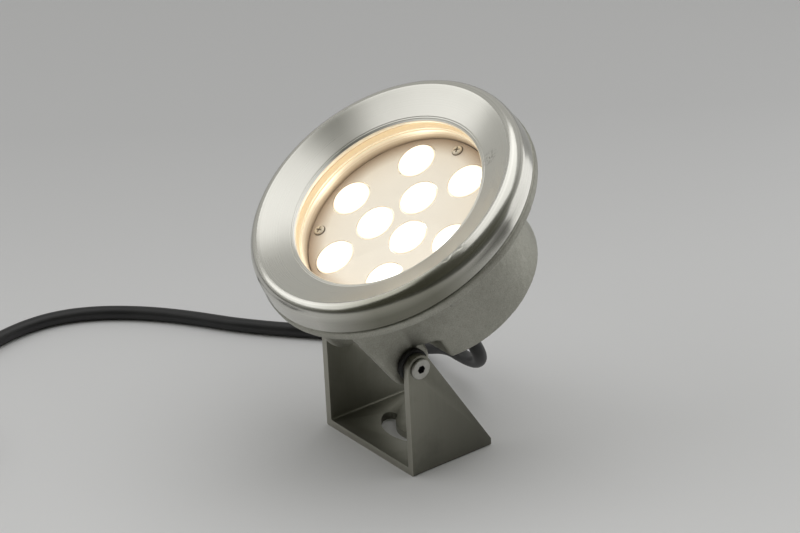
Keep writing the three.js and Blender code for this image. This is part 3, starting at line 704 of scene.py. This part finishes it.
def outlet_points():
    """Straight out of the strain relief, then one bend towards -X."""
    start = GLAND @ Vector((0, 0, RELIEF_END - GAP))
    down = (GLAND.to_3x3() @ Vector((0, 0, -1))).normalized()
    aside = Vector((-1, 0, 0))
    inside = start - down * 6
    bend = []
    for degrees in range(0, 91, 15):
        along, out = BEND_RADIUS * math.sin(math.radians(degrees)), math.cos(math.radians(degrees))
        bend.append(start + down * (STRAIGHT + along) + aside * BEND_RADIUS * (1 - out))
    end = bend[-1] + aside * STRAIGHT
    return [inside, start, *bend, end, end + aside * (STRAIGHT + GAP)]


ON_FLOOR = (
    (-94, 62.8), (-108, 53.4), (-122, 42.2), (-138, 29.2), (-156, 16.4), (-174, 5.6),
    (-190, -5.4), (-204, -17.6), (-215, -30.2), (-223, -43.6), (-227.5, -58), (-228.4, -73),
    (-226.6, -88), (-223.2, -104), (-219, -121), (-215.5, -138), (-212.6, -155),
)
FLOOR_ROUTE = [(-48, 76.2, 11.2), (-58, 75.6, 7.3), (-70, 73.2, 5.1), (-82, 69, 4)]
FLOOR_ROUTE += [(x, y, FLOOR_Z) for x, y in ON_FLOOR]
FLOOR_ROUTE += [(-211, -170, FLOOR_Z + 0.6), (-210.5, -183.2, FLOOR_Z + 1.2)]


def eased(value, start, end):
    """0 before start, 1 after end, and a smooth rise between."""
    share = min(max((value - start) / (end - start), 0), 1)
    return (1 - math.cos(math.pi * share)) / 2


def coil_points(step=7.5):
    """An outer turn, an inner one, up, another inner one, and an outer one on top."""
    inner, outer = COIL_RADII
    points = []
    entry = 180
    last = 3 * 360 + COIL_EXIT - entry
    count = round(last / step)
    for k in range(count + 1):
        turned = last * k / count
        inwards = eased(turned, 270, 360) - eased(turned, 918, 1008)
        height = COIL_LIFT + CORD_RADIUS + 2 * CORD_RADIUS * eased(turned, 600, 660)
        x, y = polar(outer - (outer - inner) * inwards, entry + turned)
        points.append(COIL_CENTRE + Vector((x, y, height)))
    return points


def tail_point(along):
    """The free end leaves the top of the coil straight and comes down to the floor."""
    x, y = polar(COIL_RADII[1], COIL_EXIT)
    dx, dy = polar(along, COIL_EXIT + 90)
    top = COIL_LIFT + 3 * CORD_RADIUS
    height = top + (FLOOR_Z - top) * eased(along, TAIL_FALL, TAIL_LENGTH)
    return COIL_CENTRE + Vector((x + dx, y + dy, height))


def smooth_path(points, step=2.0):
    """A centripetal Catmull-Rom curve through the points, sampled about every step."""
    points = [points[0] * 2 - points[1], *points, points[-1] * 2 - points[-2]]
    path = []
    for a, b, c, d in zip(points, points[1:], points[2:], points[3:]):
        knots = [0.0]
        for low, high in ((a, b), (b, c), (c, d)):
            knots.append(knots[-1] + math.sqrt((high - low).length))
        count = max(1, round((c - b).length / step))
        for k in range(count):
            t = knots[1] + (knots[2] - knots[1]) * k / count
            row, level = [a, b, c, d], 1
            while len(row) > 1:
                spans = list(zip(knots, knots[level:]))
                row = [
                    (low * (end - t) + high * (t - start)) / (end - start)
                    for low, high, (start, end) in zip(row, row[1:], spans)
                ]
                level += 1
            path.append(row[0])
    path.append(points[-2])
    return path


def tube(path, radius, sides=20):
    """A round tube along a path, closed by flat ends, whose section doesn't twist."""
    made = bmesh.new()
    rings = []
    up = Vector((0, 0, 1)).cross(path[1] - path[0])
    for k, point in enumerate(path):
        ahead = (path[min(k + 1, len(path) - 1)] - path[max(k - 1, 0)]).normalized()
        up = (up - ahead * up.dot(ahead)).normalized()
        side = ahead.cross(up)
        spokes = (polar(radius, 360 * j / sides) for j in range(sides))
        rings.append([made.verts.new(point + up * x + side * y) for x, y in spokes])
    for low, high in zip(rings, rings[1:]):
        for j in range(sides):
            i = (j + 1) % sides
            made.faces.new([low[j], low[i], high[i], high[j]])
    made.faces.new(rings[0][::-1])
    made.faces.new(rings[-1])
    bmesh.ops.recalc_face_normals(made, faces=made.faces)
    return made


def make_tie():
    """A strap round the coil's section, with its lock on the outside."""
    inner, outer = COIL_RADII[0] - CORD_RADIUS - GAP, COIL_RADII[1] + CORD_RADIUS + GAP
    low, high, strap, half = COIL_LIFT - GAP, COIL_LIFT + 4 * CORD_RADIUS + GAP, 1.1, 1.8

    def loop(grow, radius):
        x0, x1, z0, z1 = inner - grow, outer + grow, low - grow, high + grow
        return rounded([(x0, z0, radius), (x1, z0, radius), (x1, z1, radius), (x0, z1, radius)], 8)

    band = combined(
        "DIFFERENCE", prism(loop(strap, 4.4), -half, half), prism(loop(0, 3.3), -half - 1, half + 1)
    )
    shape = bevelled(moved(band, ALONG_Y), 0.25)
    lock = bevelled(block(outer + 0.9, outer + 4.9, -half - 0.8, half + 0.8, 6, 11), 0.6, 3)
    tongue = bevelled(block(outer + 2.2, outer + 3.3, -half + 0.2, half - 0.2, 3.2, 13.6), 0.25)
    shape = joined(shape, lock, tongue)
    place = Matrix.Translation(COIL_CENTRE) @ rotation(TIE_ANGLE)
    return piece("coil_strap", moved(shape, place), NYLON, STAND, ["coil_tie"])


def make_core(word, side, colour):
    """One stripped core wire with its bare copper tip, splaying away from the other."""
    start = tail_point(TAIL_LENGTH - 2)
    heading = COIL_EXIT + 90
    ahead, aside = Vector((*polar(1, heading), 0)), Vector((*polar(1, heading + 90), 0)) * side
    path = []
    for k in range(17):
        along = CORE_LENGTH * k / 16
        splay = 1.5 + 2.4 * eased(along, 4, CORE_LENGTH)
        fall = Vector((0, 0, -1.7 * eased(along, 2, 26)))
        path.append(start + ahead * along + aside * splay + fall)
    shape = joined(tube(path[:14], 1.05, 16), second_material(tube(path[13:], 0.7, 12)))
    looks, slot = (colour, COPPER), f"core_{word}"
    return piece(f"lead_core_{word}", shape, looks, STAND, [f"core_wire_{word}"])


def make_strain_relief():
    """A tapered sleeve with ribs."""
    outside = [(6.3, NUT_END - GAP, 0.3), (6.2, NUT_END - 2.6, 0.3)]
    ribs, pitch = 6, 2.4
    for k in range(ribs):
        back = NUT_END - 3 - pitch * k
        width = 6.2 - 1.4 * (k + 1) / ribs
        outside += [(width - 0.9, back, 0.2), (width - 0.95, back - 0.9, 0.2)]
        outside += [(width, back - 1.1, 0.25), (width - 0.05, back - pitch + 0.2, 0.25)]
    outside += [(4.7, RELIEF_END, 0.4), (CORD_RADIUS, RELIEF_END), (CORD_RADIUS, NUT_END - GAP)]
    shape = lathe(rounded(outside, 3), 64)
    piece("lead_strain_relief", shape, RUBBER_AND_SHADE, HEAD, ["strain_relief"], GLAND)


def make_lead():
    route = [Vector(p) for p in FLOOR_ROUTE]
    tail = [tail_point(s) for s in (10, 20, 30, 40, 50, 60, TAIL_LENGTH)]
    path = smooth_path([*outlet_points(), *route, *coil_points(), *tail])
    lead = shown("lead", tube(path, CORD_RADIUS), (SHEATH,), 50)
    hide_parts("lead_outlet_bend", "lead_floor_run", "lead_coil", "lead_tail")
    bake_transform(lead)
    on_it = [make_tie(), make_core("brown", 1, BROWN), make_core("blue", -1, BLUE)]


# ---- bracket


def make_bracket():
    half = BRACKET_WIDTH / 2
    top = PIVOT.z + EAR_TOP_RADIUS + 1
    inside = half - SHEET
    channel = [(-half, 0, 1.2), (half, 0, 1.2), (half, top), (inside, top)]
    channel += [(inside, SHEET, 1), (-inside, SHEET, 1), (-inside, top), (-half, top)]
    drop = EAR_REAR_HEIGHT - PIVOT.z
    touch = math.atan2(drop, BASE_REAR) + math.acos(EAR_TOP_RADIUS / math.hypot(BASE_REAR, drop))
    side = [(BASE_FRONT, 0), (BASE_REAR, 0), (BASE_REAR, EAR_REAR_HEIGHT)]
    side += arc((0, PIVOT.z), EAR_TOP_RADIUS, math.degrees(touch), 180, 32)
    end, centre = SLOT_WIDTH / 2, (0, SLOT_CENTRE_Y)
    first, last = -90 - SLOT_HALF_ANGLE, -90 + SLOT_HALF_ANGLE
    end_x, end_y = polar(SLOT_RADIUS, last)
    end_y += SLOT_CENTRE_Y
    slot = arc(centre, SLOT_RADIUS + end, first, last, 40)
    slot += arc((end_x, end_y), end, last, last + 180, 16)[1:]
    slot += arc(centre, SLOT_RADIUS - end, last, first, 40)[1:]
    slot += arc((-end_x, end_y), end, first + 180, first + 360, 16)[1:-1]

    shape = moved(prism(rounded(channel, 6), -BASE_REAR, -BASE_FRONT), ALONG_Y)
    shape = combined("INTERSECT", shape, moved(prism(side, -half - 1, half + 1), ALONG_X))
    pivot = moved(rod(PIVOT_HOLE, -half - 1, half + 1, 48), AT_PIVOT @ sideways(1))
    hole = shifted(rod(PIVOT_HOLE, -1, SHEET + 1, 48), 0, SLOT_CENTRE_Y)
    shape = combined("DIFFERENCE", shape, pivot, hole, prism(slot, -1, SHEET + 1))
    piece("bracket_plate", bevelled(shape, 0.3), PLATE_STEEL, STAND, ["bracket"])


# ---- housing


def lug(side):
    """A plate that ends round the tilt axis, in slices that round its inner edge."""
    slices = []
    front = FLANGE_BACK + 1
    for radius, depth in ((9.4, LUG_THICKNESS), (10.8, 6.3), (11.6, 5.3), (LUG_RADIUS, 4)):
        touch = math.atan2(front, -LUG_DROP) + math.acos(radius / math.hypot(front, LUG_DROP))
        outline = [(-LUG_DROP, front), *arc((0, 0), radius, math.degrees(touch), 360, 40)]
        outline += [(radius, STEP + 3), (LUG_TOP, STEP + 6.2), (LUG_TOP, front)]
        x0, x1 = sorted((side * (LUG_FACE - depth), side * LUG_FACE))
        slices.append(shifted(moved(prism(outline, x0, x1), ALONG_X), 0, -AXIS_OFFSET))
    return slices


def roughened(shape, amount, size):
    """Moves each vertex along its normal by noise of about that size."""
    shape.normal_update()
    for vertex in shape.verts:
        vertex.co += vertex.normal * (amount * noise.noise(vertex.co / size))
    return shape


def make_housing():
    beyond = 60
    outside = [(0, REAR), (CAN_RADIUS, REAR, 1.4), (CAN_RADIUS, CAN_FRONT, 5)]
    outside += [(NECK_RADIUS - 1, 39, 4)]
    outside += [(NECK_RADIUS, FLANGE_BACK, 1.5), (FLANGE_RADIUS, FLANGE_BACK, 0.6)]
    outside += [(FLANGE_RADIUS, HOUSING_TOP, 0.3), (0, HOUSING_TOP)]
    shape = lathe(rounded(outside), 240)
    shape = combined("DIFFERENCE", shape, block(-beyond, beyond, -beyond, CAN_FLAT, REAR - 1, STEP))
    shape = combined("UNION", shape, *lug(1), *lug(-1))
    for side in (1, -1):
        at_pivot = Matrix.Translation((0, -AXIS_OFFSET, 0)) @ sideways(side)
        washer_seat = moved(rod(WASHER_RADIUS + 2 * GAP, LUG_FACE, beyond), at_pivot)
        hole = moved(rod(PIVOT_HOLE, LUG_FACE - LUG_THICKNESS - 1, beyond), at_pivot)
        shape = combined("DIFFERENCE", shape, washer_seat, hole)
    bore = rod(BORE_RADIUS, BORE_BACK, PLATE_LEDGE, 128)
    rear_bore = rod(REAR_BORE_RADIUS, REAR + REAR_WALL, BORE_BACK + 0.1, 128)
    wall = block(-beyond, beyond, -beyond, CAN_FLAT + FLAT_WALL, REAR, STEP + FLAT_WALL)
    rear_bore = combined("DIFFERENCE", rear_bore, wall)
    gland_hole = shifted(rod(GLAND_HOLE, REAR - 1, 0), 0, GLAND_OFFSET)
    pocket = rod(POCKET_RADIUS + 1.2, PLATE_LEDGE - 0.9, HOUSING_TOP + 1, 192)
    shape = combined("DIFFERENCE", shape, bore, rear_bore, gland_hole, pocket)
    shape = modified(
        shape,
        ("REMESH", {"mode": "VOXEL", "voxel_size": 0.8, "use_smooth_shade": True}),
        ("SMOOTH", {"factor": 0.5, "iterations": 6}),
    )
    shape = moved(roughened(shape, 0.12, 2.5), LAMP)
    piece("housing_casting", shape, CAST_STEEL, HEAD, ["housing"], sharp=180)
    inner, low, high = POCKET_RADIUS, PLATE_LEDGE + 0.2, HOUSING_TOP + 0.05
    wall = [(inner, low), (inner + 2, low), (inner + 2, high, 0.2), (inner, high, 0.4)]
    inner, outer, low, high = BORE_RADIUS, POCKET_RADIUS + 1.8, PLATE_LEDGE - 1.3, PLATE_LEDGE
    ledge = lathe([(inner, low), (outer, low), (outer, high), (inner, high)], 256)
    shape = moved(joined(lathe(rounded(wall, 4), 256), second_material(ledge)), LAMP)
    piece("housing_seat", shape, (SEAT_STEEL, RUBBER_AND_SHADE), HEAD, ["housing"])


# ---- bezel


def dish(radius):
    """Height of the bezel's slightly hollow face."""
    share = (radius - FACE_RADIUS) / (RIDGE_RADIUS - FACE_RADIUS)
    return FACE_HEIGHT + (RIM_TOP - FACE_HEIGHT) * share - FACE_HOLLOW * share * (1 - share)


def make_bezel():
    outside = [(GLASS_RADIUS + PLAY, SEAM), (BEZEL_RADIUS, SEAM, 0.7)]
    outside += [(BEZEL_RADIUS - 0.5, SHOULDER_HEIGHT - 2)]
    for x, y in (polar(1, 4.5 * k) for k in range(21)):
        across = RIDGE_RADIUS + 0.2 + SHOULDER_WIDTH * x
        outside.append((across, SHOULDER_HEIGHT + SHOULDER_RISE * y))
    outside.append((RIDGE_RADIUS - 0.1, RIM_TOP - 0.12))
    outside += [(radius, dish(radius)) for radius in (69, 68, 66, 64, 62, 60, 58)]
    for groove in GROOVES:
        for radius, depth in ((groove + 0.22, 0), (groove, GROOVE_DEPTH), (groove - 0.22, 0)):
            outside.append((radius, dish(radius) - depth))
    outside += [(WINDOW_RADIUS + 0.3, LIP_BACK + 1, 0.2), (WINDOW_RADIUS, LIP_BACK + 0.7, 0.2)]
    outside += [(WINDOW_RADIUS, LIP_BACK, 0.15), (GLASS_RADIUS + PLAY, LIP_BACK)]
    shape = lathe(rounded(outside, 6), 360)
    for turn, depth in NICKS:
        nick = Vector((*polar(RIDGE_RADIUS + 0.3, turn), RIM_TOP))
        for vertex in shape.verts:
            vertex.co.z -= depth * max(0, 1 - (vertex.co - nick).length / NICK_REACH)
    bore = WINDOW_RADIUS + 0.3
    second_material(shape, lambda face: face.calc_center_median().xy.length < bore)
    shape, looks = moved(shape, LAMP), (BEZEL_STEEL, SEAT_STEEL)
    piece("bezel_ring", shape, looks, HEAD, ["bezel"], sharp=24)


# ---- window, plate and lenses


def make_window():
    pane = [(0, GLASS_BACK), (GLASS_RADIUS, GLASS_BACK, 0.4), (GLASS_RADIUS, GLASS_FRONT, 0.4)]
    pane = lathe(rounded([*pane, (0, GLASS_FRONT)]), 256)
    piece("window_pane", pane, GLASS, HEAD, ["window_glass"], LAMP)
    skirt, inner = GLASS_RADIUS + 0.05, WINDOW_RADIUS + PLAY
    front = [(inner, GLASS_FRONT + GAP, 0.2), (skirt, GLASS_FRONT + GAP), (skirt, GLASS_BACK - 0.2)]
    front += [(skirt + 0.25, GLASS_BACK - 0.2), (skirt + 0.25, LIP_BACK - GAP)]
    front += [(inner, LIP_BACK - GAP, 0.2)]
    inner, outer, low, high = POCKET_RADIUS + PLAY, GLASS_RADIUS, SEAM, SEAM + GASKET_THICKNESS
    rear = [(inner, low, 0.2), (outer, low, 0.2), (outer, high, 0.2), (inner, high, 0.2)]
    for name, ring in (("front_gasket", front), ("rear_gasket", rear)):
        shape = moved(lathe(rounded(ring, 4), 192), LAMP)
        piece(f"{name}_ring", shape, SILICONE, HEAD, [name])


def make_plate():
    edge = [(0, PLATE_BACK), (PLATE_RADIUS, PLATE_BACK), (PLATE_RADIUS, PLATE_FRONT, 0.25)]
    edge += [(0, PLATE_FRONT)]
    low, high = PLATE_BACK - 1, PLATE_FRONT + 1
    holes = [shifted(rod(LENS_RADIUS + PLAY, low, high, 96), *at) for at in LED_PLACES]
    holes += [shifted(rod(PLATE_SCREW_RADIUS + 0.7, low, high, 32), *at) for at in SCREW_PLACES]
    shape = combined("DIFFERENCE", lathe(rounded(edge), 256), *holes)
    piece("plate_disc", shape, WHITE, HEAD, ["led_plate"], LAMP)


def make_lenses():
    profile = [(0, PLATE_FRONT + 0.7), (4, PLATE_FRONT + 0.65, 2)]
    profile += [(LENS_RADIUS - 1.4, PLATE_FRONT + 0.35, 0.6), (LENS_RADIUS, PLATE_FRONT, 0.3)]
    profile += [(LENS_RADIUS, PLATE_BACK + 0.2, 0.2), (LENS_RADIUS - 2, PLATE_BACK + 0.2, 0.4)]
    hollow = LENS_BACK + LENS_HOLLOW
    profile += [(4.6, LENS_BACK, 0.3), (3.1, LENS_BACK), (3.1, hollow, 0.4), (0, hollow)]
    profile = rounded(profile, 4)
    for k, (x, y) in enumerate(LED_PLACES, 1):
        place = LAMP @ Matrix.Translation((x, y, 0))
        piece(f"collimator_{k}", lathe(profile, 72), LENS, HEAD, [f"lens_{k}"], place)


# ---- fasteners


def darken(shape, radius, low, high):
    """Gives the faces inside a recess the piece's second material, a dark one that paints the shade
    in the recess.
    """

    def inside(face):
        middle = face.calc_center_median()
        return middle.xy.length < radius and low < middle.z < high

    return second_material(shape, inside)


def make_plate_screws():
    seat, shank, tip = PLATE_FRONT + GAP, PLATE_SCREW_RADIUS, PLATE_SCREW_TIP
    head = [(0, tip), (shank, tip), (shank, seat), (2.7, seat, 0.1), (2.7, seat + 0.9, 0.5)]
    head = rounded([*head, (0, seat + 1.05)])
    ring = [(1.9, seat - 0.25), (3.1, seat - 0.25), (3.1, seat), (1.9, seat)]
    for k, (x, y) in enumerate(SCREW_PLACES, 1):
        arms = [block(-a, a, -b, b, seat + 0.2, seat + 3) for a, b in ((1.8, 0.4), (0.4, 1.8))]
        shape = moved(combined("DIFFERENCE", lathe(head, 48), *arms), rotation(35 * k))
        darken(shape, 1.9, seat + 0.1, seat + 0.7)
        shape = joined(shape, second_material(lathe(ring, 48)))
        place, looks = LAMP @ Matrix.Translation((x, y, 0)), (NICKEL, SHADE)
        nodes = [f"plate_screw_{k}"]
        piece(f"cross_screw_{k}", shape, looks, HEAD, nodes, place)


def make_bezel_screws():
    seat, head, shank = FLANGE_BACK - GAP, 3.5, 1.9
    profile = [(0, seat - 4), (head, seat - 4, 0.6), (head, seat, 0.15), (shank, seat)]
    profile = rounded([*profile, (shank, CLAMP_TIP), (0, CLAMP_TIP)], 4)
    for k, (x, y) in enumerate(CLAMP_PLACES, 1):
        shape = combined("DIFFERENCE", lathe(profile, 48), hexagon(3, seat - 5, seat - 2))
        place = LAMP @ Matrix.Translation((x, y, 0)) @ rotation(23 * k)
        nodes = [f"bezel_screw_{k}"]
        piece(f"rim_screw_{k}", shape, DULL_STEEL, HEAD, nodes, place)


def make_pivots():
    seat = BRACKET_WIDTH / 2 + GAP
    face = seat + BOLT_HEAD_HEIGHT
    bolt = [(0, BOLT_TIP), (BOLT_RADIUS, BOLT_TIP, 0.4), (BOLT_RADIUS, seat)]
    bolt += [(BOLT_HEAD_RADIUS, seat, 0.15), (BOLT_HEAD_RADIUS, face, 0.6), (0, face)]
    bolt = rounded(bolt, 5)
    inner, outer = LUG_FACE + GAP, BRACKET_WIDTH / 2 - SHEET - GAP
    washer = [(PIVOT_HOLE, inner), (WASHER_RADIUS, inner, 0.7)]
    washer = rounded([*washer, (WASHER_RADIUS, outer, 0.7), (PIVOT_HOLE, outer)], 5)
    for word, side in (("right", 1), ("left", -1)):
        place = AT_PIVOT @ sideways(side)
        shape = combined("DIFFERENCE", lathe(bolt, 72), hexagon(4, face - 2.4, face + 1))
        # painted shade: the socket's inside takes the black rubber
        darken(shape, 2.4, face - 2.5, face - 0.1)
        nodes, looks = [f"pivot_bolt_{word}"], (BOLT_STEEL, RUBBER_AND_SHADE)
        piece(f"socket_bolt_{word}", shape, looks, HEAD, nodes, place)
        shape, nodes = lathe(washer, 96), [f"pivot_washer_{word}"]
        piece(f"rubber_washer_{word}", shape, RUBBER_AND_SHADE, HEAD, nodes, place)


# ---- gland


def chamfered_hexagon(across_flats, z0, z1):
    """A hexagon whose corners are turned away at both ends."""
    flat, corner = across_flats / 2, across_flats / math.sqrt(3)
    fall = (corner - flat) * 0.6
    cone = [(0, z0), (flat, z0), (corner, z0 + fall), (corner, z1 - fall), (flat, z1), (0, z1)]
    return combined("INTERSECT", hexagon(across_flats, z0 - 1, z1 + 1), lathe(cone, 96))


def make_gland():
    bore = CORD_RADIUS + GAP
    thread = rod(GLAND_HOLE - GAP, REAR - 0.4, REAR + REAR_WALL)
    barrel = rod(BARREL_RADIUS, BARREL_END, GLAND_BARREL + 0.1)
    shape = combined("UNION", chamfered_hexagon(17, GLAND_BARREL, REAR - GAP), thread, barrel)
    shape = bevelled(combined("DIFFERENCE", shape, rod(bore, -20, 0)), 0.15)
    piece("gland_fitting", shape, SCREW_STEEL, HEAD, ["gland_body"], GLAND)
    start = GLAND_BARREL - GAP
    hex_end = start - NUT_HEX
    dome = [(0, hex_end + 0.2), (8.6, hex_end + 0.2), (8.6, hex_end, 0.1), (7.6, NUT_END, 1.2)]
    dome = lathe(rounded([*dome, (0, NUT_END)]), 96)
    shape = combined("UNION", chamfered_hexagon(18, hex_end, start), dome)
    thread = rod(BARREL_RADIUS + GAP, hex_end + 0.4, 0)
    shape = combined("DIFFERENCE", shape, thread, rod(bore, NUT_END - 1, 0))
    shape = bevelled(shape, 0.15)
    piece("gland_cap", shape, SCREW_STEEL, HEAD, ["gland_nut"], GLAND)


# ---- CAD nodes that stay


def finish_inner_nodes():
    looks = {
        "led_board": (BOARD, "board_white"),
        "heat_spreader": (SPREADER, "spreader_aluminium"),
        "driver_board": (GREEN, "driver_green"),
        "potting": (RESIN, "potting_resin"),
        "gland_seal": (RUBBER_AND_SHADE, "black_rubber"),
        "inner_lead": (SHEATH, "lead_sheath"),
    }
    looks.update({f"led_{k}": (CHIP, "led_phosphor") for k in range(1, 10)})
    for name, (look, slot) in looks.items():
        node = frame["nodes"][name]
        node.data.materials.clear()
        node.data.materials.append(look)


# ---- studio

WINDOW_BOUNCE = 0.34
OVERHEAD, LEFT_BOX, RIGHT_CARD = 1.03, 1.0, 0.85
BEHIND = 145  # the azimuth straight behind the object, seen from the camera
ROOM, SWEEP = (0.085, 0.085, 0.066), (0.5, 0.5, 0.48)
AIM = (0, 0, 0.1)  # the lamp's middle, in metres


def area_light(name, place, target, size, radiance):
    """A rectangular light of some width and height. Its radiance doesn't depend on them."""
    data = bpy.data.lights.new(name, "AREA")
    data.shape = "RECTANGLE"
    data.size, data.size_y = size
    data.energy = radiance * math.pi * size[0] * size[1]
    light = in_scene(name, data)
    light.location = place
    light.rotation_mode = "QUATERNION"
    light.rotation_quaternion = (Vector(target) - Vector(place)).to_track_quat("-Z", "Y")
    return light


def around(azimuth, elevation, distance):
    """A place seen from the lamp in that direction. Azimuth 0 is +X and 90 is +Y."""
    x, y = polar(math.cos(math.radians(elevation)), azimuth)
    return Vector((x, y, math.sin(math.radians(elevation)))) * distance + Vector(AIM)


def make_world():
    """Dim in front of the object and paler behind it, as a paper sweep in a dark room."""
    world = bpy.data.worlds.new("studio")
    bpy.context.scene.world = world
    world.use_nodes = True
    backdrop = world.node_tree.nodes["Background"]
    way = add(world, "TexCoord").outputs["Generated"]
    towards = vector_maths(world, "DOT_PRODUCT", way, Vector((*polar(1, BEHIND), 0)))["Value"]
    share = add(world, "MapRange", {"Value": towards, "From Min": -0.5, "From Max": 0.7})
    share.interpolation_type = "SMOOTHSTEP"
    colour = blended(world, share.outputs[0], ROOM, SWEEP)
    feed(world, backdrop.inputs["Color"], colour)


def make_studio():
    shape = bmesh.new()
    corners = [shape.verts.new((x, y, 0)) for x, y in ((-6, -6), (6, -6), (6, 6), (-6, 6))]
    shape.faces.new(corners)
    floor = in_scene("floor", mesh_of("floor", shape))
    floor.data.materials.append(paper())

    make_world()
    area_light("overhead", (0.25, 0.5, 1.6), (0.25, 0.5, 0), (1.9, 2.1), OVERHEAD)
    area_light("left_box", around(-127, 36, 1.3), AIM, (1.25, 1.0), LEFT_BOX)
    area_light("right_card", around(74, 0, 0.6), AIM, (0.5, 0.26), RIGHT_CARD)

    inside = area_light("window_bounce", AIM, (0, 0, 0), (0.1, 0.1), WINDOW_BOUNCE)
    inside.data.color = (1.0, 0.92, 0.82)
    inside.data.shape = "ELLIPSE"
    inside.visible_camera = False
    inside.visible_glossy = False
    inside.matrix_world = in_metres(LAMP @ Matrix.Translation((0, 0, GLASS_BACK - 0.5)))
    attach(inside, HEAD)
    bpy.context.scene.view_settings.view_transform = "Standard"


# ---- making

make_camera()
make_lead()
make_strain_relief()
make_bracket()
make_housing()
make_bezel()
make_window()
make_plate()
make_lenses()
make_plate_screws()
make_bezel_screws()
make_pivots()
make_gland()
finish_inner_nodes()
make_studio()
